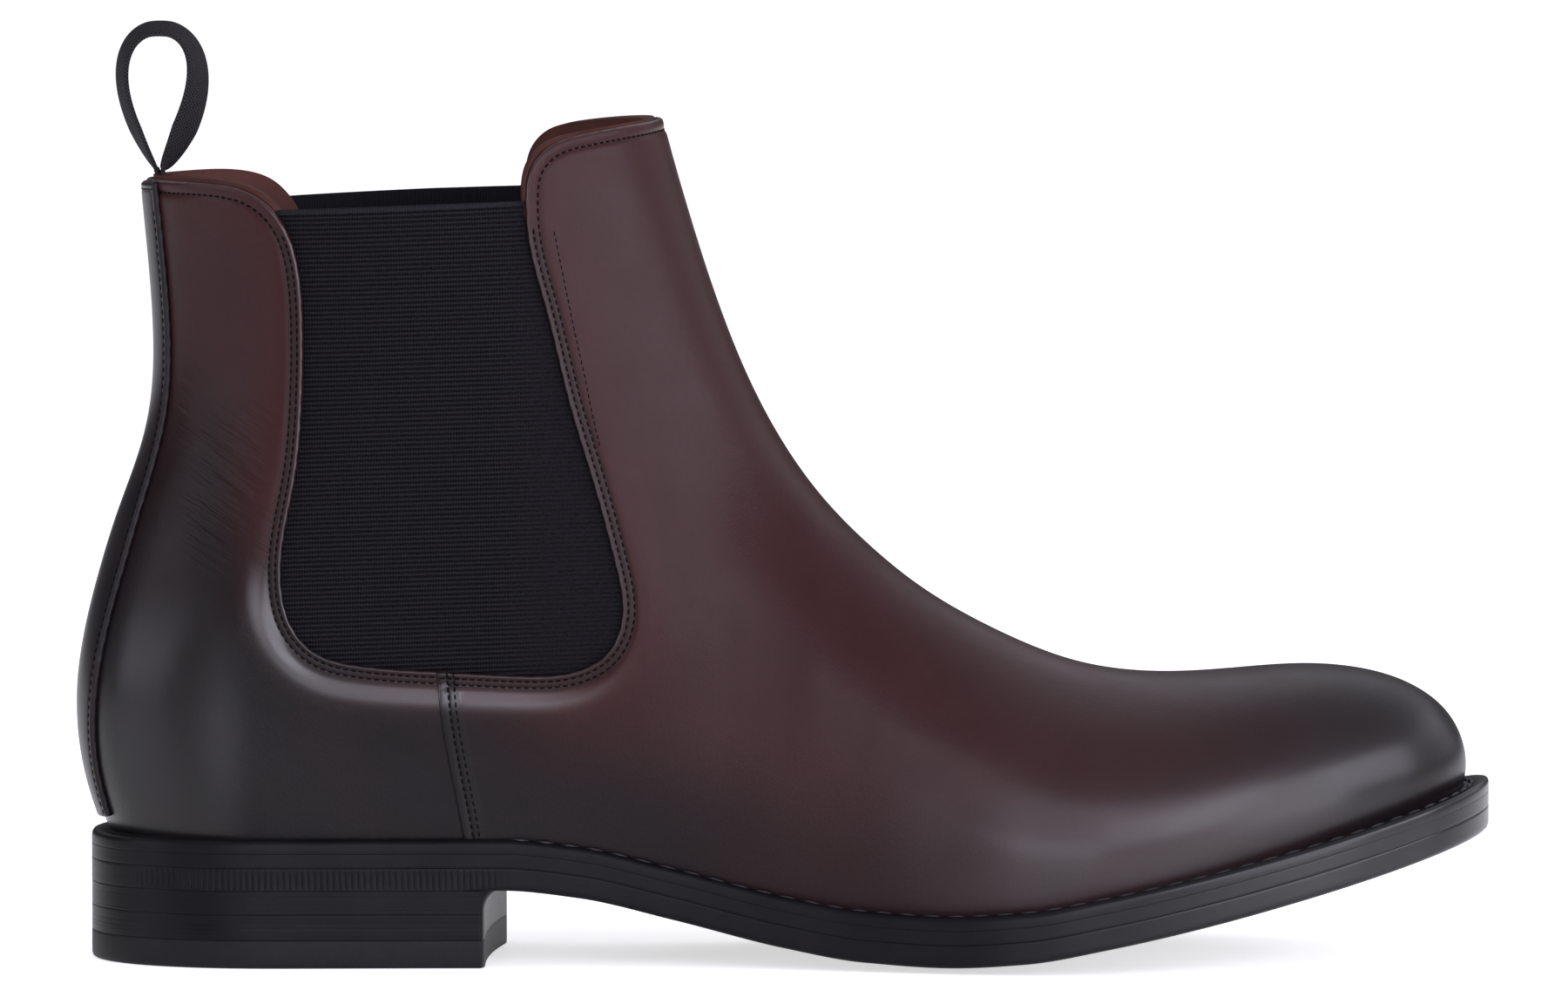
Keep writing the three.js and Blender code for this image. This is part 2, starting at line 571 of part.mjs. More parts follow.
// ---------------------------------------------------------------- the assembly
const MATERIALS = {
  burgundy_leather: { color: 0x3a1d1c, roughness: 0.4, metalness: 0 },
  strap_leather: { color: 0x1d1a1c, roughness: 0.4, metalness: 0 },
  elastic: { color: 0x141316, roughness: 0.85, metalness: 0 },
  webbing: { color: 0x100f10, roughness: 0.9, metalness: 0 },
  lining_leather: { color: 0x6e3a28, roughness: 0.7, metalness: 0 },
  sole_leather: { color: 0x17161a, roughness: 0.45, metalness: 0 },
  natural_leather: { color: 0xa9774d, roughness: 0.8, metalness: 0 },
  stiffener: { color: 0xb59f83, roughness: 0.9, metalness: 0 },
  canvas: { color: 0xcfc6b2, roughness: 0.95, metalness: 0 },
  cork: { color: 0x9a7146, roughness: 0.95, metalness: 0 },
  rubber: { color: 0x121214, roughness: 0.7, metalness: 0 },
  steel: { color: 0x8d9094, roughness: 0.35, metalness: 1 },
  brass: { color: 0xb08d4a, roughness: 0.35, metalness: 1 },
};

const boot = new THREE.Group();
function add(name, material, solid) {
  const mesh = solid.simplify(0.03).getMesh();
  const geometry = new THREE.BufferGeometry();
  geometry.setAttribute("position", new THREE.BufferAttribute(mesh.vertProperties, 3));
  geometry.setIndex(new THREE.BufferAttribute(mesh.triVerts, 1));
  geometry.computeVertexNormals();
  const made = new THREE.Mesh(geometry, new THREE.MeshStandardMaterial(MATERIALS[material]));
  made.name = name;
  boot.add(made);
}

add("vamp", "burgundy_leather", vamp);
add("quarter_lateral", "burgundy_leather", quarter("lateral"));
add("quarter_medial", "burgundy_leather", quarter("medial"));
add("back_strap", "strap_leather", backStrap());
add("gore_lateral", "elastic", gore("lateral"));
add("gore_medial", "elastic", gore("medial"));
add("heel_counter", "stiffener", heelCounter);
add("toe_puff", "stiffener", toePuff);
add("vamp_interlining", "canvas", vampInterlining);
add("quarter_interlining", "canvas", quarterInterlining);
add("vamp_lining", "lining_leather", vampLining);
add("quarter_lining", "lining_leather", quarterLining);
add("pull_loop", "webbing", loopSolid());
add("pull_loop_ends", "webbing", loopEnds());

add("outsole", "sole_leather", withHeelNails(plate(soleOutline, 0, OUTSOLE)));
add("midsole", "sole_leather", withHeelNails(plate(soleOutline, midsoleLow, midsoleLow + MIDSOLE)));
add("welt", "sole_leather", soleRing(soleOutline, planRing(0.02, 0.4), weltLow, weltLow + WELT));
add("insole_rib", "canvas", soleRing(upperInside, ribInside, weltLow, weltLow + CORK));
add("cork_filler", "cork",
  withHeelNails(plate(corkOutline, weltLow, weltLow + CORK)).subtract(shankSolid(GAP)));
add("shank", "steel", shankSolid(0));
add("insole", "natural_leather", withHeelNails(plate(upperInside, insoleLow, insoleLow + INSOLE)));
add("sock_liner", "lining_leather", plate(upperInside, sockLow, sockLow + SOCK));

add("heel_lift_upper", "sole_leather", withHeelNails(planPrism(heelPlan(0.3), ...liftOne)));
add("heel_lift_lower", "sole_leather",
  holes(withHeelNails(planPrism(heelPlan(0.3), ...liftTwo)), TOP_NAILS, NAIL_RADIUS + GAP));
add("top_lift", "rubber", holes(planPrism(heelPlan(0.1), 0, TOP_LIFT), TOP_NAILS, NAIL_RADIUS + GAP));
HEEL_NAILS.forEach((place, i) => add(`heel_nail_${i + 1}`, "steel",
  pinAt(place, NAIL_RADIUS, TOP_LIFT + 2, HEEL_SEAT_Z + insoleLow + INSOLE - 0.2)));
TOP_NAILS.forEach((place, i) => add(`top_lift_nail_${i + 1}`, "brass",
  pinAt(place, NAIL_RADIUS, 0.2, TOP_LIFT + 3.5)));

export default boot;
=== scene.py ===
"""A man's dress chelsea boot for the right foot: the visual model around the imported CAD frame.

Lengths are millimetres until a mesh is made. +X points to the toe, +Y to the medial side and +Z up.
A point on the upper has two coordinates: theta goes round the boot, from 0 at the back to pi at the
toe or the shin, with the lateral side first, and v goes from the feather line to the mouth.
"""

import math

import bmesh
import bpy
import numpy as np
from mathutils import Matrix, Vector
from mathutils.geometry import delaunay_2d_cdt
from mathutils.kdtree import KDTree


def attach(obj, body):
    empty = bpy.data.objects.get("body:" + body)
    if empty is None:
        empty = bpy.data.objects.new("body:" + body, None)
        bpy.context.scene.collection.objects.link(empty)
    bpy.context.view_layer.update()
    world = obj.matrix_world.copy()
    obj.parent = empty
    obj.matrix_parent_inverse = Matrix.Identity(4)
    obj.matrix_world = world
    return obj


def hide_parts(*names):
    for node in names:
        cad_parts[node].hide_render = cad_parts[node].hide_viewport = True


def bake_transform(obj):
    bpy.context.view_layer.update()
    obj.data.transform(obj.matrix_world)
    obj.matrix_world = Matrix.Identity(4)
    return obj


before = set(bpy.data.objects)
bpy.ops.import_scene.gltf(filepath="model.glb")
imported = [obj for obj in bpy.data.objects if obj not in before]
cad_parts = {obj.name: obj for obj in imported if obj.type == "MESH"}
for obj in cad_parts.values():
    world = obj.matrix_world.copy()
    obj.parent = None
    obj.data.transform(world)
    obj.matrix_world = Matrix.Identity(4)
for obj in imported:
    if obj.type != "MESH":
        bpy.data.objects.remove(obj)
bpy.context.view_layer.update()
MM = 0.001

# ---------------- dimensions shared with the CAD
OUTSOLE, MIDSOLE = 4.8, 2.8
FEATHER_GAP = 0.8  # from the midsole up to the foot of the upper's surface
EDGE_LIFT = 1.6  # how far the sole curls up, 50 mm out from its middle line
HEEL_SEAT_Z = 16.9
HEEL_JOINT_Z = 11.75  # between the two leather lifts
TOP_LIFT = 6.2
LINING_FACE = -4.3
LOOP_BASE = (-136.2, 172.0)
LOOP_FOOT = (-134.9, 158.0)  # where the tape ends, between the back strap and the lining
TAPE_WIDTH = 10.0

# ---------------- dimensions of the visual model only
LOOP_HEIGHT, LOOP_WIDTH = 30.9, 15.4
WELT_TOP = 11.0  # rough height of the welt's top over the sole's underside
RIDGE_SLOPE = 3.4  # the front outline's slope above the mouth
SEAM_OVERLAP = 2.5  # how far the quarters run under the vamp
BACK_SEAM = 0.004  # theta of a quarter's edge at the back
FINE = 0.25  # spacing of points along a line that distances are measured to


# ---------------- curves
def monotone(points):
    """A cubic through (x, y) points that never overshoots them."""
    x, y = np.array(points, float).T
    h = np.diff(x)
    d = np.diff(y) / h
    m = np.zeros(len(x))
    m[0], m[-1] = d[0], d[-1]
    for i in range(1, len(x) - 1):
        if d[i - 1] * d[i] > 0:
            a, b = 2 * h[i] + h[i - 1], h[i] + 2 * h[i - 1]
            m[i] = (a + b) / (a / d[i - 1] + b / d[i])

    def at(t):
        t = np.clip(np.asarray(t, float), x[0], x[-1])
        i = np.clip(np.searchsorted(x, t) - 1, 0, len(x) - 2)
        u = (t - x[i]) / h[i]
        ends = (1 + 2 * u) * (1 - u) ** 2 * y[i] + u * u * (3 - 2 * u) * y[i + 1]
        return ends + h[i] * (u * (1 - u) ** 2 * m[i] + u * u * (u - 1) * m[i + 1])

    return at


def spline(points):
    """A natural cubic spline through (x, y) points."""
    x, y = np.array(points, float).T
    h = np.diff(x)
    a, r = np.eye(len(x)), np.zeros(len(x))
    for i in range(1, len(x) - 1):
        a[i, i - 1 : i + 2] = h[i - 1], 2 * (h[i - 1] + h[i]), h[i]
        r[i] = 6 * ((y[i + 1] - y[i]) / h[i] - (y[i] - y[i - 1]) / h[i - 1])
    bend = np.linalg.solve(a, r)

    def at(t):
        t = np.clip(np.asarray(t, float), x[0], x[-1])
        i = np.clip(np.searchsorted(x, t) - 1, 0, len(x) - 2)
        p, q = (x[i + 1] - t) / h[i], (t - x[i]) / h[i]
        straight = p * y[i] + q * y[i + 1]
        return straight + ((p**3 - p) * bend[i] + (q**3 - q) * bend[i + 1]) * h[i] ** 2 / 6

    return at


def run_length(points):
    """The distance along a line of points, at each of them."""
    return np.concatenate([[0], np.cumsum(np.linalg.norm(np.diff(points, axis=0), axis=1))])


def unit(vectors):
    return vectors / np.linalg.norm(vectors, axis=-1, keepdims=True)


def average(values, reach, mode="edge"):
    """The moving average of each value and this many neighbours on either side."""
    count = 2 * reach + 1
    return np.convolve(np.pad(values, reach, mode), np.ones(count) / count, "valid")


def smooth_line(points, count):
    """A smooth line through the points, at this many even steps of its length."""
    p = np.array(points, float)
    length = run_length(p)
    t = np.linspace(0, length[-1], count + 1)
    return np.stack([spline(np.stack([length, p[:, k]], 1))(t) for k in range(p.shape[1])], 1)


def smoothstep(low, high, x):
    t = np.clip((np.asarray(x, float) - low) / (high - low), 0, 1)
    return t * t * (3 - 2 * t)


# ---------------- the last
sole_z = monotone([
    (-156, HEEL_SEAT_Z), (-62, HEEL_SEAT_Z), (-45, 15.2), (-24, 10.3), (0, 4.2), (18, 1.0), (36, 0),
    (52, 0.9), (70, 4.1), (90, 8.6), (111, 14.2), (130, 19.8), (145, 24.6), (156, 28.4),
])
lift_share = monotone([(-60, 0), (20, 1)])


def edge_lift(x, y):
    return EDGE_LIFT * lift_share(x) * (y / 50) ** 2


def bottom_z(x, y):
    return sole_z(x) + edge_lift(x, y)


BACK = [
    (0, -146.6, 25.3), (0.06, -150.4, 36), (0.12, -152.5, 45), (0.2, -153.3, 54), (0.3, -152.9, 63),
    (0.4, -151.2, 73), (0.5, -148.4, 84), (0.6, -144.5, 96.5), (0.7, -140.0, 109), (0.78, -137.3, 120),
    (0.85, -136.4, 132), (0.92, -137.1, 148), (1, -139.4, 172),
]
FRONT = [
    (0, 147.6, 34.6), (0.06, 149.4, 43), (0.12, 145.2, 53.6), (0.18, 133, 61.3), (0.24, 116, 63.9),
    (0.3, 99, 63.0), (0.36, 82.5, 62.2), (0.42, 65, 64.3), (0.48, 48, 70.7), (0.54, 32, 79.5),
    (0.6, 19, 89.7), (0.66, 8, 101), (0.72, -1, 113.8), (0.78, -8, 127.2), (0.84, -13.6, 141),
    (0.92, -20.2, 161), (1, -27.8, 187),
]
back_x, back_z = [spline([(p[0], p[k]) for p in BACK]) for k in (1, 2)]
front_x, front_z = [spline([(p[0], p[k]) for p in FRONT]) for k in (1, 2)]

# Half widths at heights over the sole's underside: (x, lateral, medial) along the boot.
WIDTHS = [
    (9, [(-150, 30.4, 30.4), (-100, 31, 30.8), (-60, 30.6, 27.8), (-30, 31.4, 26), (0, 34.8, 29.4),
         (30, 41.2, 39), (52, 46, 45.4), (70, 48, 48), (100, 47.5, 46.5), (150, 47, 45)]),
    (22, [(-150, 31.2, 31.2), (-100, 31.8, 31.6), (-60, 31.8, 30), (-30, 33, 29.4), (0, 36.4, 32.6),
          (30, 42.3, 40.6), (52, 47, 46.5), (70, 49, 48.9), (100, 48.4, 47.4), (150, 47.5, 45)]),
    (38, [(-150, 31.4, 31.4), (-100, 32, 32), (-60, 33, 32.2), (-30, 34.8, 32.8), (0, 37.4, 35.2),
          (30, 41.6, 40.6), (52, 45.4, 45.2), (70, 47, 47), (100, 47, 46.6), (150, 46, 45)]),
    (55, [(-150, 31.2, 31.2), (-100, 32.2, 32.4), (-60, 34.4, 34.4), (-30, 36.2, 35.6), (0, 37.8, 37),
          (30, 40, 39.6), (60, 42.5, 42.5), (150, 43, 43)]),
    (75, [(-150, 30.8, 30.8), (-100, 33, 33.2), (-60, 35.8, 36.2), (-30, 36.8, 37), (0, 37.4, 37.4),
          (150, 38, 38)]),
    (100, [(-150, 31, 31), (-100, 34.6, 34.8), (-60, 37, 37.4), (-30, 37, 37.2), (0, 36.4, 36.4),
           (150, 36, 36)]),
    (130, [(-150, 34, 34), (-100, 37.4, 37.6), (-60, 38, 38.2), (-30, 37.2, 37.2), (150, 36, 36)]),
    (165, [(-150, 38.5, 38.5), (-100, 40.4, 40.4), (-60, 40.2, 40.2), (-30, 39.4, 39.4), (150, 38, 38)]),
    (190, [(-150, 41, 41), (-100, 41.6, 41.6), (-60, 41.5, 41.5), (-30, 41, 41), (150, 40, 40)]),
]
width_rows = [[monotone([(p[0], p[k]) for p in row]) for k in (1, 2)] for _, row in WIDTHS]
row_shares = [
    spline([(height, 1.0 if k == i else 0.0) for k, (height, _) in enumerate(WIDTHS)])
    for i in range(len(WIDTHS))
]
back_round = monotone([(0, 37), (0.12, 38), (0.3, 40), (0.5, 42), (0.7, 46), (0.85, 54), (1, 60)])
front_round = monotone([
    (0, 80), (0.12, 80), (0.18, 76), (0.24, 64), (0.3, 52), (0.36, 43), (0.42, 37), (0.48, 34),
    (0.54, 35), (0.6, 38), (0.72, 43), (0.84, 44), (1, 43),
])
top_round = monotone([
    (-27.8, 146), (-20, 134), (-13.6, 118), (-8, 98), (-1, 76), (8, 54), (19, 45), (30, 41),
    (45, 38), (60, 35), (80, 32), (100, 30), (130, 27), (150, 22),
])
back_power = monotone([(0, 2.25), (0.3, 2.2), (0.6, 2.1), (1, 2)])
front_power = monotone([(0, 2.05), (0.12, 2.1), (0.3, 2.05), (0.6, 2), (1, 2)])
ridge_y = monotone([(-160, 0), (-60, 0), (0, 1.2), (70, 3.2), (155, 5)])


def roll(t, power):
    return (1 - (1 - np.clip(t, 0, 1)) ** power) ** (1 / power)


def side_view(v, s):
    """(x, z) at height v and share s of the way from the back outline to the front outline."""
    x = (1 - s) * back_x(v) + s * front_x(v)
    chord = (1 - s) * back_z(v) + s * front_z(v)
    foot_x = (1 - s) * back_x(0) + s * front_x(0)
    foot_chord = (1 - s) * back_z(0) + s * front_z(0)
    foot = sole_z(foot_x) + OUTSOLE + MIDSOLE + FEATHER_GAP
    return x, chord + (1 - v) * (foot - foot_chord)


def both_ways(a, b):
    """The smaller of two distances, eased into the other where they are alike."""
    return a * b / (a**3 + b**3 + 1e-12) ** (1 / 3)


ridge = np.array([side_view(v, 1.0) for v in np.linspace(0.062, 1, 300)])[::-1]
ridge_ahead = monotone(ridge)


def ridge_z(x):
    """Height of the front outline over x, carried on upwards behind the mouth's front."""
    return ridge_ahead(x) + np.maximum(ridge[0, 0] - x, 0) * RIDGE_SLOPE


def last_point(theta, v):
    theta, v = np.broadcast_arrays(np.asarray(theta, float), np.asarray(v, float))
    s = (1 - np.cos(theta)) / 2
    x, z = side_view(v, s)
    length = front_x(v) - back_x(v)
    lateral = np.sin(theta) >= 0
    height = z - sole_z(x)
    width = sum(
        share(height) * np.where(lateral, sides[0](x), sides[1](x))
        for share, sides in zip(row_shares, width_rows)
    )
    forward = (1 - s) * length / front_round(v)
    upward = (ridge_z(x) - z) / top_round(x)
    front = both_ways(np.maximum(forward, 0), np.maximum(upward, 0))
    around = roll(s * length / back_round(v), back_power(v)) * roll(front, front_power(v))
    y = ridge_y(x) * (1 - around) + np.where(lateral, -width, width) * around
    return np.stack([x, y, z + (1 - v) * edge_lift(x, y)], -1)


def slopes(theta, v):
    """The surface's two directions and its outward normal."""
    step = 1e-3
    along = (last_point(theta + step, v) - last_point(theta - step, v)) / (2 * step)
    low, high = np.clip(v - step, 0, 1), np.clip(v + step, 0, 1)
    up = (last_point(theta, high) - last_point(theta, low)) / (high - low)[..., None]
    return along, up, unit(np.cross(along, up))


def upper_point(theta, v, offset):
    theta, v, offset = [np.asarray(a, float) for a in np.broadcast_arrays(theta, v, offset)]
    return last_point(theta, v) + slopes(theta, v)[2] * offset[..., None]


def unwrap(line, medial=False):
    """(theta, v) of side-view points (x, z)."""
    x, z = line.T
    low, high = np.zeros(len(x)), np.ones(len(x))
    for _ in range(40):
        v = (low + high) / 2
        s = np.clip((x - back_x(v)) / (front_x(v) - back_x(v)), 0, 1)
        below = side_view(v, s)[1] < z
        low, high = np.where(below, v, low), np.where(below, high, v)
    theta = np.arccos(1 - 2 * s)
    return np.stack([2 * math.pi - theta if medial else theta, v], 1)


# ---------------- patterns in side view
TOP_EDGE = [
    (-148, 170.2), (-134, 170.1), (-122.4, 169.8), (-115.1, 167.8), (-109.2, 162.5), (-105.9, 154.7),
    (-104.5, 143.5), (-104.5, 126.5), (-106.2, 106), (-108.6, 93), (-108.9, 82), (-106.6, 74),
    (-101.5, 68.6), (-93, 66), (-75.3, 64.6), (-56.5, 63.7), (-45.5, 64.6), (-38, 69), (-35, 76.5),
    (-36.4, 88), (-41.4, 106.6), (-46.5, 123.7), (-51.2, 143), (-54.8, 157), (-55.6, 167),
    (-54.4, 174), (-50.2, 178.7), (-43, 181), (-34, 182.4), (-20, 184),
]
SIDE_SEAM = [(-75.3, 64.6), (-74.6, 57), (-72.4, 43), (-69.6, 28), (-68, 15)]
GORE_TOP = (-125, 163.8)  # a point on the gore's top hem
# The gore's far edge, sewn through the leather in front of it.
GORE_HEM = [(-49.9, 160.8), (-46.5, 144), (-43.2, 129), (-39.8, 113.3)]
strap_depth = monotone([(0, 2.2), (0.06, 2.6), (0.3, 4), (0.52, 4.4), (0.75, 3.2), (1, 3)])
SAMPLE = 0.8  # spacing of points along a finished edge


def walk(line, spacing):
    """The (theta, v) line again, at even steps over the surface."""
    fine = []
    for a, b in zip(line[:-1], line[1:]):
        steps = max(1, int(abs(b[0] - a[0]) / 0.02))
        fine += [a + (b - a) * k / steps for k in range(steps)]
    fine = np.array(fine + [line[-1]])
    length = run_length(last_point(*fine.T))
    t = np.linspace(0, length[-1], max(2, int(round(length[-1] / spacing))) + 1)
    return np.stack([np.interp(t, length, fine[:, k]) for k in (0, 1)], 1)


def clip_to_ridge(line, end):
    """The line up to where it reaches the front (end = pi) or the back (end = 0) of the boot."""
    reached = np.flatnonzero(np.abs(line[:, 0] - end) < 0.03)
    cut = line[: reached[0]] if len(reached) else line
    return np.vstack([cut, [[end, cut[-1, 1]]]])


def both(line):
    """The same line on the medial side."""
    return np.stack([2 * math.pi - line[:, 0], line[:, 1]], 1)


top_edge = smooth_line(TOP_EDGE, 900)
seam_index = int(np.argmin(np.linalg.norm(top_edge - np.array(SIDE_SEAM[0]), axis=1)))
seam_line = smooth_line(SIDE_SEAM, 80)
front_edge = clip_to_ridge(unwrap(top_edge[seam_index:]), math.pi)
rear_edge = clip_to_ridge(unwrap(top_edge[seam_index::-1]), 0.0)


# ---------------- meshes
PLANE = np.array([100.0, 230.0])  # rough millimetres per unit of theta and of v
ROW_HEIGHT = 0.866  # of a triangular grid, as a share of its spacing
HIDDEN_SPACING = 3.0  # of the points of a hidden face


def nearest(points, line):
    """Each point's distance to the line's nearest point."""
    tree = KDTree(len(line))
    for i, p in enumerate(line):
        tree.insert(p, i)
    tree.balance()
    return np.array([tree.find(p)[2] for p in points])


def sample(*lines):
    """Closely spaced points of the surface along some (theta, v) lines."""
    return last_point(*np.vstack([walk(line, FINE) for line in lines]).T)


def winding(loop):
    """1 where the closed 2-D loop runs anticlockwise, and -1 where it runs clockwise."""
    x, y = loop.T
    return 1 if (x * np.roll(y, -1) - np.roll(x, -1) * y).sum() > 0 else -1


def inside(points, loop):
    """Which 2-D points lie inside the closed loop."""
    result = np.zeros(len(points), bool)
    x, y = points.T
    for (ax, ay), (bx, by) in zip(loop, np.roll(loop, -1, 0)):
        if ay != by:
            crosses = (ay > y) != (by > y)
            result ^= crosses & (x < (bx - ax) * (y - ay) / (by - ay) + ax)
    return result


def link(name, data):
    """A new object in the scene."""
    made = bpy.data.objects.new(name, data)
    bpy.context.scene.collection.objects.link(made)
    return made


def make_object(name, points, faces, material, body="boot", attributes=None):
    """A smooth-shaded mesh in metres that rides on a body. points are in millimetres."""
    mesh = bpy.data.meshes.new(name)
    mesh.from_pydata((np.asarray(points) * MM).tolist(), [], [list(map(int, f)) for f in faces])
    for key, values in (attributes or {}).items():
        layer = mesh.attributes.new(key, "FLOAT", "POINT")
        layer.data.foreach_set("value", np.asarray(values, np.float32))
    mesh.polygons.foreach_set("use_smooth", [True] * len(mesh.polygons))
    mesh.materials.append(material)
    piece = link(name, mesh)
    if body:
        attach(piece, body)
    return piece


def step_towards(flat, target):
    """The (theta, v) step from the surface points towards targets near them in space."""
    along, up, _ = slopes(*flat.T)
    miss = target - last_point(*flat.T)
    aa, bb, ab = (along**2).sum(1), (up**2).sum(1), (along * up).sum(1)
    pa, pb = (miss * along).sum(1), (miss * up).sum(1)
    det = aa * bb - ab * ab
    return np.stack([(pa * bb - pb * ab) / det, (pb * aa - pa * ab) / det], 1)


def sideways(line, distance, closed=True, sign=1):
    """The (theta, v) line moved to its left over the surface. sign = -1 moves it to its right."""
    along, up, normal = slopes(*line.T)
    d = np.roll(line, -1, 0) - np.roll(line, 1, 0) if closed else np.gradient(line, axis=0)
    tangent = unit(along * d[:, :1] + up * d[:, 1:])
    target = last_point(*line.T) + np.cross(normal, tangent) * sign * distance
    moved = line.copy()
    for _ in range(5):
        moved += step_towards(moved, target)
        moved[:, 1] = np.clip(moved[:, 1], 0, 1)
    return moved


def lattice(loop, spacing, clear, others=None, others_clear=0.0):
    """Points of a triangular grid inside a closed (theta, v) loop, kept clear of its edge."""
    scaled = loop * PLANE
    low, high = scaled.min(0), scaled.max(0)
    rows = np.arange(low[1], high[1], spacing * ROW_HEIGHT)
    gx, gy = np.meshgrid(np.arange(low[0], high[0], spacing), rows)
    gx[1::2] += spacing / 2
    grid = np.stack([gx.ravel(), gy.ravel()], 1)
    grid = grid[inside(grid, scaled)] / PLANE
    points = last_point(*grid.T)
    keep = nearest(points, last_point(*loop.T)) > clear
    if others is not None and len(others):
        keep &= nearest(points, last_point(*others.T)) > others_clear
    return grid[keep]


def turn_edges(points, faces):
    """The same triangles with inner edges turned where that makes better shapes on the surface."""
    mesh = bmesh.new()
    verts = [mesh.verts.new(p) for p in points]
    for face in faces:
        mesh.faces.new([verts[i] for i in face])
    mesh.verts.index_update()
    inner_edges = [edge for edge in mesh.edges if len(edge.link_faces) == 2]
    bmesh.ops.beautify_fill(mesh, faces=mesh.faces[:], edges=inner_edges, method="ANGLE")
    turned = [[v.index for v in face.verts] for face in mesh.faces]
    mesh.free()
    return turned


def fill(points, count):
    """Points and triangles inside the closed loop of the first count points."""
    ring = [list(range(count))]
    verts, _, faces, *_ = delaunay_2d_cdt([Vector(p) for p in points], [], ring, 1, 1e-5)
    return np.array([tuple(p) for p in verts]), faces


def triangles(loop, inner):
    """(theta, v) points and triangles that fill a closed loop. The loop's points come first."""
    flat, faces = fill(np.vstack([loop, *inner]) * PLANE, len(loop))
    flat /= PLANE
    return flat, turn_edges(last_point(*flat.T), faces)


def close_piece(name, loop, rim, front, front_faces, back_offset, material, attributes, facing=1):
    """A closed piece from its visible face, with a plainer back.

    rim lists the front points that follow the (theta, v) loop. facing is 1 where the visible face
    looks out of the boot, and -1 where it looks in.
    """
    turn = winding(loop)
    flat, back_faces = triangles(loop, [lattice(loop, HIDDEN_SPACING, HIDDEN_SPACING / 2)])
    offset = back_offset(flat) if callable(back_offset) else back_offset
    back = upper_point(*flat.T, offset)
    m, n = len(front), len(loop)
    faces = [f[::facing] for f in front_faces]
    faces += [[i + m for i in f[::-facing]] for f in back_faces]
    for i in range(n):
        k = (i + 1) % n
        faces.append([rim[i], m + i, m + k, rim[k]][:: turn * facing])
    filled = {
        key: np.concatenate([values, np.full(len(back), values[0])])
        for key, values in attributes.items()
    }
    return make_object(name, np.vstack([front, back]), faces, material, attributes=filled)


EDGE_ROWS = (0.15, 0.35, 0.6, 0.9, 1.25, 1.6, 1.95, 2.3, 2.6, 2.95, 3.4, 4.0, 4.8)


def panel(name, edges, shape, material, spacing=1.1, back_offset=-1.4, base=0.0, rows=EDGE_ROWS,
          facing=1):
    """A closed piece of the upper, with rows of points that follow its finished edges.

    edges is a list of ((theta, v) line, finished) that joins up into a loop. shape(theta, v, points)
    gives each front point's height over the base offset, and its colour attributes.
    """
    lines = [walk(line, SAMPLE if finished else spacing)[:-1] for line, finished in edges]
    finished = np.concatenate([[f] * len(line) for line, (_, f) in zip(lines, edges)])
    loop = np.concatenate(lines)
    turn = winding(loop)
    loop_points = last_point(*loop.T)
    extra = []
    for distance in rows:
        p = sideways(loop, distance, sign=turn)[finished]
        p = p[inside(p * PLANE, loop * PLANE)]
        extra.append(p[nearest(last_point(*p.T), loop_points) > 0.93 * distance])
    extra.append(lattice(loop, spacing, 0.5 * spacing, loop[finished], rows[-1] + 0.45 * spacing))
    flat, faces = triangles(loop, extra)
    height, attributes = shape(*flat.T, last_point(*flat.T))
    front = upper_point(*flat.T, base + height)
    rim = range(len(loop))
    return close_piece(name, loop, rim, front, faces, back_offset, material, attributes, facing)


# ---------------- materials
def shader(name, roughness, **inputs):
    material = bpy.data.materials.new(name)
    material.use_nodes = True
    tree = material.node_tree
    surface = tree.nodes["Principled BSDF"]
    surface.inputs["Roughness"].default_value = roughness
    for key, value in inputs.items():
        surface.inputs[key.replace("_", " ")].default_value = value
    return material, tree, surface


def add(tree, kind, inputs=None, **settings):
    node = tree.nodes.new(kind)
    for key, value in settings.items():
        setattr(node, key, value)
    for key, value in (inputs or {}).items():
        socket = node.inputs[key]
        if isinstance(value, bpy.types.NodeSocket):
            tree.links.new(value, socket)
        else:
            socket.default_value = value
    return node


def millimetres(tree, scale=(1000, 1000, 1000)):
    place = add(tree, "ShaderNodeTexCoord").outputs["Object"]
    return add(tree, "ShaderNodeMapping", {"Vector": place, "Scale": scale}).outputs["Vector"]


def attribute(tree, name):
    return add(tree, "ShaderNodeAttribute", attribute_name=name).outputs["Fac"]


def noise(tree, vector, size, detail=4.0, roughness=0.55):
    return add(
        tree, "ShaderNodeTexNoise",
        {"Vector": vector, "Scale": 1.0 / size, "Detail": detail, "Roughness": roughness},
    ).outputs["Fac"]


def ramp(tree, factor, stops):
    node = add(tree, "ShaderNodeValToRGB", {"Fac": factor})
    elements = node.color_ramp.elements
    while len(elements) < len(stops):
        elements.new(0.5)
    for element, (position, colour) in zip(elements, stops):
        element.position = position
        value = (colour,) * 3 if isinstance(colour, (int, float)) else colour
        element.color = (*value, 1)
    return node.outputs["Color"]


def two_tone(tree, factor, dark, light, high=0.7):
    """From dark where the factor is 0.3 to light where it is high."""
    return ramp(tree, factor, [(0.3, dark), (high, light)])


def mix(tree, factor, a, b):
    node = add(tree, "ShaderNodeMix", data_type="RGBA")
    for socket, value in ((node.inputs[0], factor), (node.inputs[6], a), (node.inputs[7], b)):
        if isinstance(value, bpy.types.NodeSocket):
            tree.links.new(value, socket)
        elif socket == node.inputs[0]:
            socket.default_value = value
        else:
            socket.default_value = (*value, 1)
    return node.outputs[2]


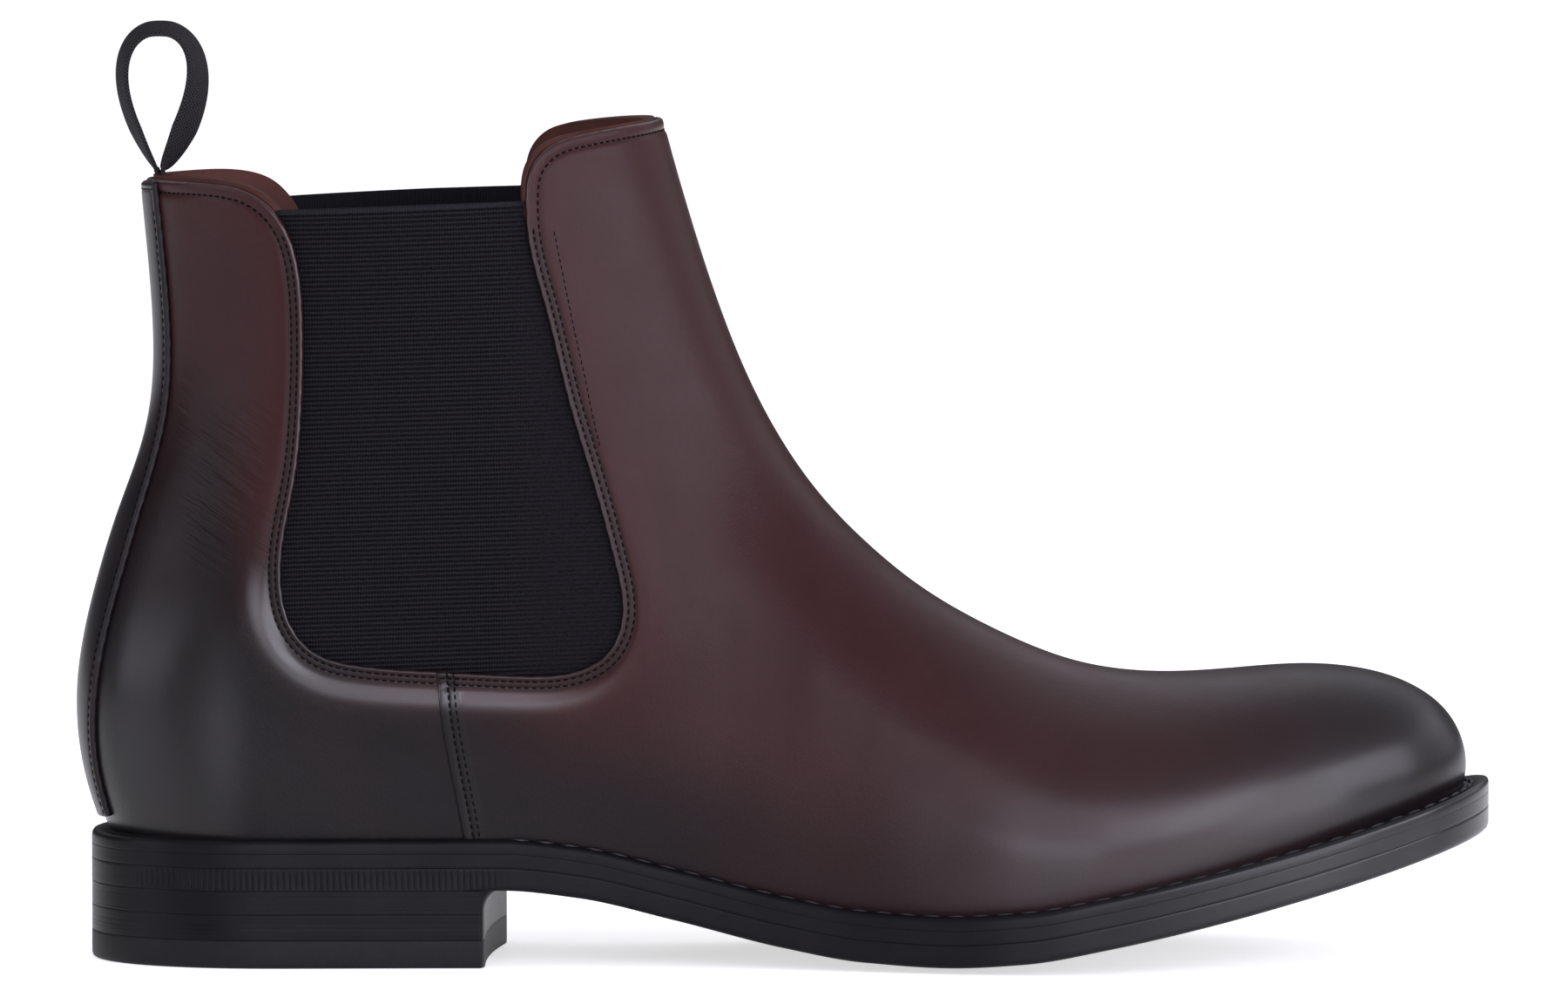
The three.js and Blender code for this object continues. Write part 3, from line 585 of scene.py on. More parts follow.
def maths(tree, operation, a, b=0.0, c=0.0):
    node = add(tree, "ShaderNodeMath", operation=operation)
    for socket, value in zip(node.inputs, (a, b, c)):
        if isinstance(value, bpy.types.NodeSocket):
            tree.links.new(value, socket)
        else:
            socket.default_value = value
    return node.outputs[0]


def bump(tree, surface, *layers):
    """Each layer is (height, strength, distance in millimetres)."""
    normal = None
    for height, strength, distance in layers:
        inputs = {"Height": height, "Strength": strength, "Distance": distance * MM}
        if normal is not None:
            inputs["Normal"] = normal
        normal = add(tree, "ShaderNodeBump", inputs).outputs["Normal"]
    tree.links.new(normal, surface.inputs["Normal"])


def burnished_leather_with_painted_shade():
    material, tree, surface = shader(
        "burnished_leather_with_painted_shade", 0.36, Coat_Roughness=0.26, Specular_IOR_Level=0.11
    )
    place = millimetres(tree)
    cloud = noise(tree, place, 26, 3)
    fine = noise(tree, place, 1.6, 5, 0.6)
    body = two_tone(tree, cloud, (0.0150, 0.0048, 0.0053), (0.0220, 0.0068, 0.0074))
    red_share = maths(tree, "MULTIPLY", attribute(tree, "red"), 0.6)
    red = mix(tree, red_share, body, (0.024, 0.0055, 0.0052))
    # Darkened towards near black by the dark attribute: the burnish of toe, heel and back, and painted
    # shade low on the waist and below the gore.
    drift = maths(tree, "MULTIPLY", maths(tree, "SUBTRACT", cloud, 0.5), 0.5)
    burnish_and_painted_shade_share = maths(tree, "ADD", attribute(tree, "dark"), drift)
    dark = ramp(tree, burnish_and_painted_shade_share, [(0.0, 0.0), (1.0, 1.0)])
    burnished_and_shaded = mix(tree, dark, red, (0.0028, 0.0024, 0.0030))
    dyed_share = maths(tree, "MULTIPLY", attribute(tree, "dyed"), 0.85)
    dyed = mix(tree, dyed_share, burnished_and_shaded, (0.0050, 0.0042, 0.0042))
    mottled = mix(tree, ramp(tree, fine, [(0.35, 0.0), (0.75, 0.22)]), dyed, (0.006, 0.003, 0.003))
    tree.links.new(mottled, surface.inputs["Base Color"])
    rough = two_tone(tree, noise(tree, place, 9, 4), 0.34, 0.41)
    tree.links.new(rough, surface.inputs["Roughness"])
    coat = maths(tree, "MULTIPLY", attribute(tree, "polish"), 0.42)
    tree.links.new(coat, surface.inputs["Coat Weight"])
    cells = add(tree, "ShaderNodeTexVoronoi", {"Vector": place, "Scale": 1 / 0.55}, feature="F1")
    bump(
        tree, surface,
        (cells.outputs["Distance"], 0.35, 0.06),
        (noise(tree, place, 0.8, 4, 0.65), 0.32, 0.11),
        (noise(tree, place, 7, 3), 0.25, 0.25),
        (maths(tree, "MULTIPLY", wrinkles(tree), attribute(tree, "wrinkled")), 0.9, 0.4),
    )
    return material


def wrinkles(tree):
    """Fine folds that run down and forward behind the gore."""
    place = add(tree, "ShaderNodeTexCoord").outputs["Object"]
    slope = (0, math.radians(-32), 0)
    turned = add(tree, "ShaderNodeMapping", {"Vector": place, "Rotation": slope}).outputs["Vector"]
    drawn_out = add(tree, "ShaderNodeMapping", {"Vector": turned, "Scale": (80, 80, 950)})
    return noise(tree, drawn_out.outputs["Vector"], 1.0, 3, 0.55)


def strap_leather():
    material, tree, surface = shader(
        "strap_leather", 0.34, Coat_Weight=0.05, Coat_Roughness=0.2, Specular_IOR_Level=0.11
    )
    place = millimetres(tree)
    cloud = noise(tree, place, 12, 4)
    tone = two_tone(tree, cloud, (0.004, 0.0032, 0.0042), (0.008, 0.0055, 0.0066))
    tree.links.new(tone, surface.inputs["Base Color"])
    grain, waves = noise(tree, place, 0.8, 4, 0.6), noise(tree, place, 6, 2)
    bump(tree, surface, (grain, 0.2, 0.08), (waves, 0.2, 0.2))
    return material


def lining_leather():
    material, tree, surface = shader("lining_leather", 0.62, Specular_IOR_Level=0.15)
    place = millimetres(tree)
    cloud = noise(tree, place, 18, 4)
    tone = two_tone(tree, cloud, (0.034, 0.010, 0.007), (0.064, 0.019, 0.013))
    fine = ramp(tree, noise(tree, place, 0.7, 4, 0.7), [(0.35, 0.0), (0.8, 0.35)])
    tree.links.new(mix(tree, fine, tone, (0.02, 0.006, 0.004)), surface.inputs["Base Color"])
    bump(tree, surface, (noise(tree, place, 0.6, 5, 0.7), 0.35, 0.12))
    return material


def wave(tree, value, pitch):
    """The sine of a length, once round in every pitch."""
    return maths(tree, "SINE", maths(tree, "MULTIPLY", value, 2 * math.pi / pitch))


def elastic():
    """Black ribbed elastic, whose front third is pebbly rather than ribbed."""
    material, tree, surface = shader("elastic", 0.75, Specular_IOR_Level=0.04)
    place = millimetres(tree)
    x = add(tree, "ShaderNodeSeparateXYZ", {"Vector": place}).outputs[0]
    wobble = maths(tree, "MULTIPLY", noise(tree, place, 9, 2), 1.1)
    warp = wave(tree, maths(tree, "ADD", x, wobble), 0.58)
    weft = wave(tree, attribute(tree, "rib"), 1)
    front_third = {"Value": x, "From Min": -62, "From Max": -52}
    pebbly = add(tree, "ShaderNodeMapRange", front_third).outputs[0]
    even = maths(tree, "MULTIPLY_ADD", warp, 0.5, weft)
    even = maths(tree, "MULTIPLY", even, maths(tree, "MULTIPLY_ADD", pebbly, -0.6, 1.0))
    fuzz = noise(tree, place, 0.4, 3, 0.7)
    coarse = maths(tree, "MULTIPLY_ADD", pebbly, 2.0, 1.8)
    height = maths(tree, "MULTIPLY_ADD", maths(tree, "SUBTRACT", fuzz, 0.5), coarse, even)
    # Painted shade and highlight: the colour runs from near black in the hollows between ribs to lighter
    # on their crests, with random fuzz.
    rib_shade_and_highlight = ramp(tree, maths(tree, "MULTIPLY_ADD", height, 0.26, 0.5),
               [(0.15, (0.0008, 0.0007, 0.0010)), (0.95, (0.0130, 0.0120, 0.0150))])
    tree.links.new(rib_shade_and_highlight, surface.inputs["Base Color"])
    bump(tree, surface, (height, 0.7, 0.14))
    return material


def webbing():
    material, tree, surface = shader("webbing", 0.8, Specular_IOR_Level=0.12)
    warp_pitch, weft_pitch = 1.25, 0.9
    across = maths(tree, "MULTIPLY", attribute(tree, "across"), 2 * math.pi / warp_pitch)
    along = maths(tree, "MULTIPLY", attribute(tree, "along"), 2 * math.pi / weft_pitch)
    twill = maths(tree, "SINE", maths(tree, "ADD", along, across))
    other = maths(tree, "SINE", maths(tree, "SUBTRACT", along, across))
    fuzz = noise(tree, millimetres(tree), 0.3, 3, 0.7)
    height = maths(tree, "ADD", maths(tree, "MAXIMUM", twill, other), fuzz)
    # Painted shade and highlight: darker in the weave's hollows and lighter on its raised threads, with
    # random fuzz.
    tone = ramp(tree, maths(tree, "MULTIPLY", height, 0.5),
                [(0.1, (0.0012, 0.0012, 0.0014)), (0.9, (0.024, 0.022, 0.024))])
    tree.links.new(tone, surface.inputs["Base Color"])
    bump(tree, surface, (height, 0.7, 0.2))
    return material


def sole_edge():
    """Black edge dressing, waxed more towards the toe."""
    material, tree, surface = shader("sole_edge", 0.42, Coat_Roughness=0.25, Specular_IOR_Level=0.08)
    place = millimetres(tree)
    x = add(tree, "ShaderNodeSeparateXYZ", {"Vector": place}).outputs[0]
    wax = {"Value": x, "From Min": 40, "From Max": 115, "To Min": 0.0, "To Max": 0.45}
    tree.links.new(add(tree, "ShaderNodeMapRange", wax).outputs[0], surface.inputs["Coat Weight"])
    streak = noise(tree, millimetres(tree, (60, 60, 1700)), 1.0, 3, 0.6)
    fine = noise(tree, place, 0.5, 4, 0.7)
    cloud = noise(tree, place, 14, 4)
    tone = two_tone(tree, cloud, (0.0020, 0.0018, 0.0023), (0.0042, 0.0037, 0.0047), 0.75)
    tree.links.new(tone, surface.inputs["Base Color"])
    rough = two_tone(tree, fine, 0.32, 0.42, 0.75)
    tree.links.new(rough, surface.inputs["Roughness"])
    bump(tree, surface, (streak, 0.25, 0.12), (fine, 0.35, 0.08))
    return material


def plain(name, dark, light, roughness, size=6.0, depth=0.1, metallic=0.0, gloss=0.4):
    """A two-tone mottled surface with a fine relief."""
    material, tree, surface = shader(name, roughness, Metallic=metallic, Specular_IOR_Level=gloss)
    place = millimetres(tree)
    tone = two_tone(tree, noise(tree, place, size, 5), dark, light)
    tree.links.new(tone, surface.inputs["Base Color"])
    bump(tree, surface, (noise(tree, place, size / 8, 4, 0.65), 0.4, depth))
    return material


LEATHER_MATERIAL = burnished_leather_with_painted_shade()
STRAP_MATERIAL = strap_leather()
LINING_MATERIAL = lining_leather()
ELASTIC_MATERIAL = elastic()
WEBBING_MATERIAL = webbing()
EDGE_MATERIAL = sole_edge()
THREAD_MATERIAL = plain(
    "thread", (0.0012, 0.001, 0.0012), (0.003, 0.0026, 0.0028), 0.8, 0.5, 0.05, gloss=0.04
)
WELT_THREAD_MATERIAL = plain(
    "waxed_thread", (0.006, 0.0055, 0.007), (0.02, 0.019, 0.022), 0.5, 0.6, 0.06
)
NATURAL_MATERIAL = plain("natural_leather", (0.22, 0.12, 0.06), (0.34, 0.2, 0.11), 0.7)
RUBBER_MATERIAL = plain(
    "top_lift_rubber", (0.003, 0.003, 0.0035), (0.005, 0.005, 0.006), 0.5, 1.5, 0.06, gloss=0.12
)
STEEL_MATERIAL = plain("steel", (0.30, 0.31, 0.33), (0.45, 0.46, 0.48), 0.35, 2.0, 0.02, 1.0)
BRASS_MATERIAL = plain("brass", (0.45, 0.32, 0.14), (0.6, 0.45, 0.22), 0.35, 2.0, 0.02, 1.0)


# ---------------- the leather pieces
# Height of a piece's face by distance from its edge: a rounded lip, two stitch grooves, a swell.
edge_height = monotone([
    (0, -0.75), (0.12, -0.3), (0.3, -0.04), (0.5, 0.02), (0.75, -0.04), (1.0, -0.24), (1.25, -0.36),
    (1.6, -0.2), (1.95, -0.16), (2.3, -0.24), (2.6, -0.42), (2.85, -0.26), (3.15, -0.06), (3.6, 0.06),
    (4.4, 0.14), (6, 0.18), (9, 0.14), (14, 0.05), (18, 0),
])
mouth_height = monotone([
    (0, -0.7), (0.12, -0.26), (0.35, 0.02), (0.8, 0.14), (1.6, 0.1), (2.1, -0.04), (2.6, -0.3),
    (3.1, -0.05), (4, 0.12), (9, 0.05), (14, 0),
])
swell = monotone([
    (0, 0), (2.6, 0), (3.0, 0.08), (4, 0.4), (5, 0.68), (6, 0.9), (7.5, 1.08), (9.5, 1.1), (13, 0.85),
    (18, 0.4), (24, 0.1), (29, 0),
])
lap_height = monotone([
    (0, -0.1), (0.12, 0.35), (0.35, 0.6), (0.8, 0.7), (1.5, 0.66), (1.9, 0.46), (2.2, 0.36), (2.5, 0.5),
    (2.9, 0.62), (3.3, 0.48), (3.6, 0.36), (3.9, 0.5), (4.3, 0.6), (4.8, 0.3), (5.6, 0.26), (9, 0.1),
    (13, 0),
])
CREASE_BOW = 1.5  # how far a crease bows out from its straight line
# Shallow creases in side view: (x, z) ends, depth and half width.
CREASES = [
    ((-131, 126), (-114, 113), 0.10, 1.1), ((-130, 119), (-113, 105), 0.16, 1.2),
    ((-129, 112), (-113, 98), 0.13, 1.1), ((-131, 104), (-114, 91), 0.13, 1.2),
    ((-127, 97), (-113, 86), 0.09, 1.0), ((-33, 112), (-26, 86), 0.12, 1.3),
]
top_points = sample(rear_edge[::-1], front_edge)
medial_top_points = sample(both(rear_edge)[::-1], both(front_edge))
seam_param = unwrap(seam_line)
seam_points, medial_seam_points = sample(seam_param), sample(both(seam_param))


def creases(p):
    """Depth of the shallow creases at points on the surface."""
    depth = np.zeros(len(p))
    place = p[:, [0, 2]]
    for start, end, deep, half in CREASES:
        start, end = np.array(start), np.array(end)
        line = end - start
        t = ((place - start) @ line) / (line @ line)
        side = np.cross(line, place - start) / np.linalg.norm(line)
        bow = CREASE_BOW * np.sin(math.pi * np.clip(t, 0, 1))
        fade = smoothstep(-0.15, 0.25, t) * smoothstep(1.15, 0.75, t)
        depth += deep * fade * np.exp(-(((side - bow) / half) ** 2))
    return depth


def polish_of(x, z, above_welt, edge_distance):
    """How glossy the leather is: on the ball and the heel, beside the gore's foot and on its lip."""
    ball = smoothstep(15, 58, x) * (1 - 0.5 * smoothstep(18, 34, above_welt))
    ball *= smoothstep(-1, 7, above_welt) * (1 - 0.45 * smoothstep(112, 138, x))
    heel = 0.7 * smoothstep(-114, -125, x) * smoothstep(86, 64, z)
    rim = smoothstep(2.7, 3.1, edge_distance) * smoothstep(9, 5, edge_distance)
    rim *= 1.8 * smoothstep(90, 76, z) * smoothstep(-30, -60, x)
    lip = 1.5 * smoothstep(0.7, 0.2, edge_distance)
    return np.max([ball, heel, rim, lip], axis=0)


def tones_and_painted_shade(p, edge_distance, lap_distance):
    """How dark, red and polished the leather is, and where its dyed edges and wrinkles are. Dark is the
    burnished toe, heel and back, plus painted shade low by the welt (most at the waist) and below the
    gore beside the side seam.
    """
    x, _, z = p.T
    above_welt = z - bottom_z(x, 0 * x) - WELT_TOP
    toe = smoothstep(70, 148, x + 0.25 * (z - 40))
    heel = smoothstep(-72, -110, x) * smoothstep(108, 62, z)
    back = smoothstep(-112, -126, x) * smoothstep(145, 105, z)
    # Painted shade: darker low down by the welt, most at the waist, and below the gore beside the side
    # seam.
    foot = smoothstep(34, 9, above_welt)
    side = smoothstep(32, 8, np.abs(x + 78)) * smoothstep(64, 52, z)
    waist = 0.4 * smoothstep(10, -30, x) + 0.45
    light = (1 - 0.95 * toe) * (1 - 0.9 * heel) * (1 - 0.75 * back)
    light *= (1 - waist * foot) * (1 - 0.85 * side)
    red = smoothstep(14, 3, edge_distance) * 0.8
    red += 0.5 * smoothstep(20, 60, above_welt) * (1 - toe) * (1 - heel)
    dyed = 0.6 * smoothstep(3.5, 2.9, edge_distance) * smoothstep(164, 156, z)
    dyed = np.maximum(dyed, smoothstep(5.0, 4.5, lap_distance))
    wrinkled = smoothstep(-134, -128, x) * smoothstep(-107, -114, x)
    wrinkled *= smoothstep(80, 92, z) * smoothstep(132, 118, z)
    polish = polish_of(x, z, above_welt, edge_distance)
    red = np.clip(red, 0, 1)
    return {"dark": 1 - light, "red": red, "polish": polish, "dyed": dyed, "wrinkled": wrinkled}


FAR = 99.0  # a distance out of the lap's reach


def leather_shape(with_lap):
    """The face of the vamp, which laps over the side seam, or of a quarter, which does not."""

    def shape(theta, v, p):
        lateral = np.sin(theta) >= 0
        edge = np.where(lateral, nearest(p, top_points), nearest(p, medial_top_points))
        mouth = smoothstep(158, 163, p[:, 2])
        height = edge_height(edge) * (1 - mouth) + mouth_height(edge) * mouth - creases(p)
        height += swell(edge) * smoothstep(100, 72, p[:, 2]) * smoothstep(-20, -50, p[:, 0])
        lap = np.full(len(p), FAR)
        if with_lap:
            lap = np.where(lateral, nearest(p, seam_points), nearest(p, medial_seam_points))
            height += lap_height(lap)
        return height, tones_and_painted_shade(p, edge, lap)

    return shape


vamp_shape, quarter_shape = leather_shape(True), leather_shape(False)


def feather(start, end):
    return np.array([[start, 0.0], [end, 0.0]])


def vamp_outline():
    foot = seam_param[-1, 0]
    return [
        (seam_param[::-1], True),
        (front_edge, True),
        (both(front_edge)[::-1], True),
        (both(seam_param), True),
        (feather(2 * math.pi - foot, foot), False),
    ]


def quarter_outline(mirror):
    """Half of the back of the upper. Its front edge runs under the vamp."""
    under_seam = unwrap(seam_line + np.array([SEAM_OVERLAP, 0.0]))
    top = rear_edge[::-1].copy()
    top[0, 0] = BACK_SEAM
    foot = feather(under_seam[-1, 0], BACK_SEAM)
    back = np.array([foot[1], top[0]])
    lines = ((top, True), (np.vstack([top[-1:], under_seam]), False), (foot, False), (back, False))
    return [(mirror(line), finished) for line, finished in lines]


def same(line):
    return line


vamp = panel("vamp_leather", vamp_outline(), vamp_shape, LEATHER_MATERIAL)
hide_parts("vamp")
for side, mirror in (("lateral", same), ("medial", both)):
    quarter = panel(f"quarter_{side}_leather", quarter_outline(mirror), quarter_shape,
                    LEATHER_MATERIAL, spacing=0.9)
    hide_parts(f"quarter_{side}")


# ---------------- the back strap
strap_height = monotone([
    (0, 0), (0.1, 0.45), (0.25, 0.75), (0.5, 0.95), (0.9, 1.0), (1.25, 0.9), (1.5, 0.84), (1.75, 0.92),
    (2.2, 1.02), (4, 1.08), (8, 1.1),
])
STRAP_FOOT, STRAP_TOP = 0.035, 0.992


def strap_side(v, sign):
    half = np.arccos(1 - 2 * strap_depth(v) / (front_x(v) - back_x(v)))
    return np.stack([sign * half, v], 1)


strap_v = np.linspace(STRAP_FOOT, STRAP_TOP, 160)
strap_right, strap_left = strap_side(strap_v, 1), strap_side(strap_v, -1)
strap_top = np.stack([strap_right[-1], strap_left[-1]])
strap_points = sample(strap_right, strap_top, strap_left[::-1])


def strap_shape(theta, v, p):
    return 0.3 + strap_height(nearest(p, strap_points)), {}


def back_strap():
    edges = [
        (np.stack([strap_left[0], strap_right[0]]), False),
        (strap_right, True),
        (strap_top, True),
        (strap_left[::-1], True),
    ]
    strap = panel("back_strap_leather", edges, strap_shape, STRAP_MATERIAL, spacing=1.2,
                  back_offset=-0.1)
    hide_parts("back_strap")


back_strap()

# ---------------- the elastic gores
RIB_PITCH = 1.03
ROWS_PER_RIB = 5
GORE_TILT = 5 / 115
GORE_UNDER = 3.0  # how far the elastic runs under the leather
GORE_BACK = -3.0
GORE_EDGE, GORE_BULGE = -1.68, 0.42  # the face's offset at the leather, and how much the middle adds
RIB_RELIEF = 0.11
HEM_RELIEF = 1.8  # in ribs


def rib_rise(x):
    """How much higher a rib is at x than in the middle of the gore."""
    return GORE_TILT * (x + 80)


def gore_grid():
    """(theta, v) of the lateral gore's grid, each row's rib phase, and points of the leather's edge."""
    hole = top_edge[(top_edge[:, 0] < -34) & (top_edge[:, 0] > -112) & (top_edge[:, 1] < 168)]
    level = hole[:, 1] - rib_rise(hole[:, 0])
    lowest = int(np.argmin(level))
    hem = GORE_TOP[1] - rib_rise(GORE_TOP[0])
    step = RIB_PITCH / ROWS_PER_RIB
    heights = np.arange(hem, level[lowest] - GORE_UNDER, -step)[::-1]
    near = np.linspace(-GORE_UNDER, GORE_UNDER, 13)[:, None] + heights
    low = level[lowest] + 0.6
    rear = np.interp(np.maximum(near, low), level[lowest::-1], hole[lowest::-1, 0]).min(0) - 2
    front = np.interp(np.maximum(near, low), level[lowest:], hole[lowest:, 0]).max(0) + 2
    share = np.linspace(0, 1, 56)
    x = rear[:, None] + (front - rear)[:, None] * share
    z = heights[:, None] + rib_rise(x)
    phase = np.arange(len(heights)) / ROWS_PER_RIB
    flat = unwrap(np.stack([x.ravel(), z.ravel()], 1))
    return flat.reshape(len(heights), len(share), 2), phase, last_point(*unwrap(hole).T)


def gore(side, mirror, grid, phase, hole_points):
    """One gore: taut ribbed elastic, bulging a little, with a thicker hem along its top."""
    rows, columns = grid.shape[:2]
    flat = grid.reshape(-1, 2)
    inward = nearest(last_point(*flat.T), hole_points)  # taken on the lateral side for both gores
    rib = np.repeat(phase, columns)
    top = np.repeat(np.arange(rows) > rows - ROWS_PER_RIB - 2, columns)
    relief = np.where(top, HEM_RELIEF, np.sin(2 * math.pi * rib))
    height = GORE_EDGE + GORE_BULGE * smoothstep(1, 16, inward) + RIB_RELIEF * relief
    grid = mirror(flat).reshape(rows, columns, 2)
    height = height.reshape(rows, columns)
    if side == "medial":
        grid, height = grid[:, ::-1], height[:, ::-1]
    flat = grid.reshape(-1, 2)
    front = upper_point(*flat.T, height.ravel())
    faces = [
        [r * columns + c, r * columns + c + 1, (r + 1) * columns + c + 1, (r + 1) * columns + c]
        for r in range(rows - 1) for c in range(columns - 1)
    ]
    index = np.arange(rows * columns).reshape(rows, columns)
    rim = [*index[0, :-1], *index[:-1, -1], *index[-1, :0:-1], *index[:0:-1, 0]]
    attributes = {"rib": np.where(top, 0.25, rib)}
    made = close_piece(f"gore_{side}_elastic", flat[rim], rim, front, faces, GORE_BACK,
                       ELASTIC_MATERIAL, attributes)
    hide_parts(f"gore_{side}")


gore_parts = gore_grid()
gore("lateral", same, *gore_parts)
gore("medial", both, *gore_parts)


# ---------------- the linings
def lifted(line):
    """The line raised a little where it is the mouth's edge, so the lining stands just proud."""
    z = last_point(*line.T)[:, 2]
    return line + np.stack([0 * z, 0.002 * smoothstep(160, 168, z)], 1)


mouth_line = last_point(*np.vstack([rear_edge[::-1], front_edge]).T)
lip_points = mouth_line[mouth_line[:, 2] > 165]
lip_points = np.vstack([lip_points, lip_points * [1, -1, 1]])


def lining_back(flat):
    """The lining's hidden face comes out to the leather at the mouth, and stays clear of it below."""
    return -3.3 + 1.75 * smoothstep(5, 1, nearest(last_point(*flat.T), lip_points))


def lining_shape(theta, v, p):
    return 0.25 * np.exp(-nearest(p, lip_points) / 1.5), {}


def around_back():
    """The quarter lining's outline: one piece round the back, from side seam to side seam."""
    left = rear_edge * [-1, 1]
    seam_left = seam_param * [-1, 1]
    foot = seam_param[-1, 0]
    return [
        (lifted(rear_edge[::-1])[::-1], True),
        (lifted(left[::-1]), True),
        (seam_left, False),
        (np.array([[-foot, 0.0], [foot, 0.0]]), False),
        (seam_param[::-1], False),
    ]


def linings():
    front = [(lifted(line), flag) for line, flag in vamp_outline()[1:3]]
    outline = [(seam_param[::-1], False), *front, *[(line, False) for line, _ in vamp_outline()[3:]]]
    for name, edges, node in (
        ("vamp_lining_calf", outline, "vamp_lining"),
        ("quarter_lining_calf", around_back(), "quarter_lining"),
    ):
        made = panel(name, edges, lining_shape, LINING_MATERIAL, spacing=2.4, base=LINING_FACE,
                     back_offset=lining_back, rows=(0.3, 0.8, 1.5), facing=-1)
        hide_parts(node)


linings()


# ---------------- the sole unit
ledge = monotone([
    (-156, 5.4), (-125, 3.8), (-60, 2.6), (-20, 2.8), (20, 4.2), (60, 5), (110, 5.6), (156, 7.1),
])
HEEL_STEP, SOLE_STEP = 0.27, 1.3  # spacing of the outline's points
WHEEL_PITCH, WHEEL_DEPTH = 1.35, 0.34


def plan_samples():
    """Base points of the sole's outline with outward normals, closer together round the heel."""
    theta = np.linspace(0, 2 * math.pi, 6001)
    p = last_point(theta, 0 * theta)[:, :2]
    d = np.gradient(p, axis=0)
    d[0] = d[-1] = d[1] + d[-2]
    normal = np.stack([d[:, 1], -d[:, 0]], 1) / np.linalg.norm(d, axis=1)[:, None]
    outer = p + normal * ledge(p[:, 0])[:, None]
    length = np.linalg.norm(np.diff(outer, axis=0), axis=1)
    middle = (outer[1:, 0] + outer[:-1, 0]) / 2
    pace = average(np.where(middle < -52, HEEL_STEP, SOLE_STEP), 60, "wrap")
    count = np.concatenate([[0], np.cumsum(length / pace)])
    at = np.arange(int(count[-1])) * count[-1] / int(count[-1])
    pick = np.stack([np.interp(at, count, a) for a in (*p.T, *normal.T)], 1)
    return pick[:, :2], unit(pick[:, 2:])


base_line, base_normal = plan_samples()
base_ledge = ledge(base_line[:, 0])


def outline(inset):
    """The sole's outline moved in by this much. inset may be one number or one per sample."""
    return base_line + base_normal * (base_ledge - inset)[:, None]


def at_level(plan, level):
    """Plan points at this height over the sole's underside."""
    x, y = plan.T
    return np.stack([x, y, bottom_z(x, y) + level], 1)


def cap(inset, level):
    """Points and faces that fill the sole's outline at a height over its underside."""
    spacing = 7.0
    gx, gy = np.meshgrid(np.arange(-160, 160, spacing), np.arange(-56, 56, spacing))
    grid = np.stack([gx.ravel(), gy.ravel()], 1)
    grid = grid[inside(grid, outline(9.0))]
    flat, faces = fill(np.vstack([outline(inset), grid]), len(base_line))
    return at_level(flat, level), faces


def bands(count, starts):
    """Faces between closed rings of count points. starts has each ring's first point, going up."""
    faces = []
    for a, b in zip(starts[:-1], starts[1:]):
        for i in range(count):
            k = (i + 1) % count
            faces.append([a + i, a + k, b + k, b + i])
    return faces


def end_faces(count, total):
    """One face over the first ring of count points, and one over the last of total points."""
    return [list(range(count))[::-1], list(range(total - count, total))]


def slab(name, profile, material, node):
    """A layer of the sole. profile lists (inset, height over the underside) from bottom to top."""
    n = len(base_line)
    # The two caps bring the first and the last ring with them.
    low, low_faces = cap(*profile[0])
    high, high_faces = cap(*profile[-1])
    middle = [at_level(outline(inset), level) for inset, level in profile[1:-1]]
    starts = [0] + [len(low) + n * k for k in range(len(middle) + 1)]
    faces = [f[::-1] for f in low_faces]
    faces += [[i + starts[-1] for i in f] for f in high_faces]
    faces += bands(n, starts)
    made = make_object(name, np.vstack([low, *middle, high]), faces, material)
    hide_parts(node)


def wheel_ticks(level):
    """The fudge wheel's marks on the outsole's edge: round the heel seat, fading out at the waist."""
    step = np.linalg.norm(np.diff(outline(0), axis=0, append=outline(0)[:1]), axis=1)
    distance = np.cumsum(step)
    heel = smoothstep(-58, -66, base_line[:, 0]) * smoothstep(-141, -132, base_line[:, 0])
    marks = np.maximum(0, np.sin(2 * math.pi * distance / WHEEL_PITCH)) ** 2
    return WHEEL_DEPTH * heel * marks * smoothstep(0.3, 1.0, level) * smoothstep(4.6, 3.9, level)


def sole_layers():
    round_share = 0.05 + 0.95 * smoothstep(-72, -56, base_line[:, 0])  # the heel seat stays sharp
    rounding = [(1.6, 0), (0.7, 0.08), (0.28, 0.3), (0.07, 0.7)]
    sides = [(0.0, level) for level in (1.2, 2.0, 2.8, 3.6, 4.3)]
    outsole = [(inset * round_share + wheel_ticks(level), level) for inset, level in rounding + sides]
    outsole += [(0.0, 4.85), (0.06, 4.99)]
    slab("outsole_leather", outsole, EDGE_MATERIAL, "outsole")
    midsole = [(0.06, 5.0), (0.0, 5.12), (0, 5.6), (0, 7.4), (0.0, 7.95), (0.01, 8.095)]
    slab("midsole_leather", midsole, EDGE_MATERIAL, "midsole")


def welt():
    """A ring with a bevelled top edge and a channel for its stitches."""
    width = base_ledge
    inner = width + 0.3
    groove = 0.45 * smoothstep(-62, -40, base_line[:, 0])
    profile = [
        (inner, 8.1), (0.01, 8.105), (0.0, 8.24), (0.0, 8.8), (0.0, 9.9), (0.12, 10.4), (0.5, 10.9),
        (1.0, 11.1), (width * 0.42, 11.2), (width * 0.5, 11.2 - groove), (width * 0.62, 11.2 - groove),
        (width * 0.72, 11.22), (width * 0.9, 11.3), (inner, 11.3),
    ]
    rings = [at_level(outline(inset), level) for inset, level in profile]
    n = len(base_line)
    faces = bands(n, [*range(0, n * len(rings), n), 0])
    made = make_object("welt_leather", np.vstack(rings), faces, EDGE_MATERIAL)
    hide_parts("welt")


sole_layers()
welt()


# ---------------- the heel
BREAST_LATERAL, BREAST_MEDIAL, BREAST_HOLLOW = -64.8, -60.5, 1.6
FILLET = 4.5  # radius of the curve from the breast into the waist


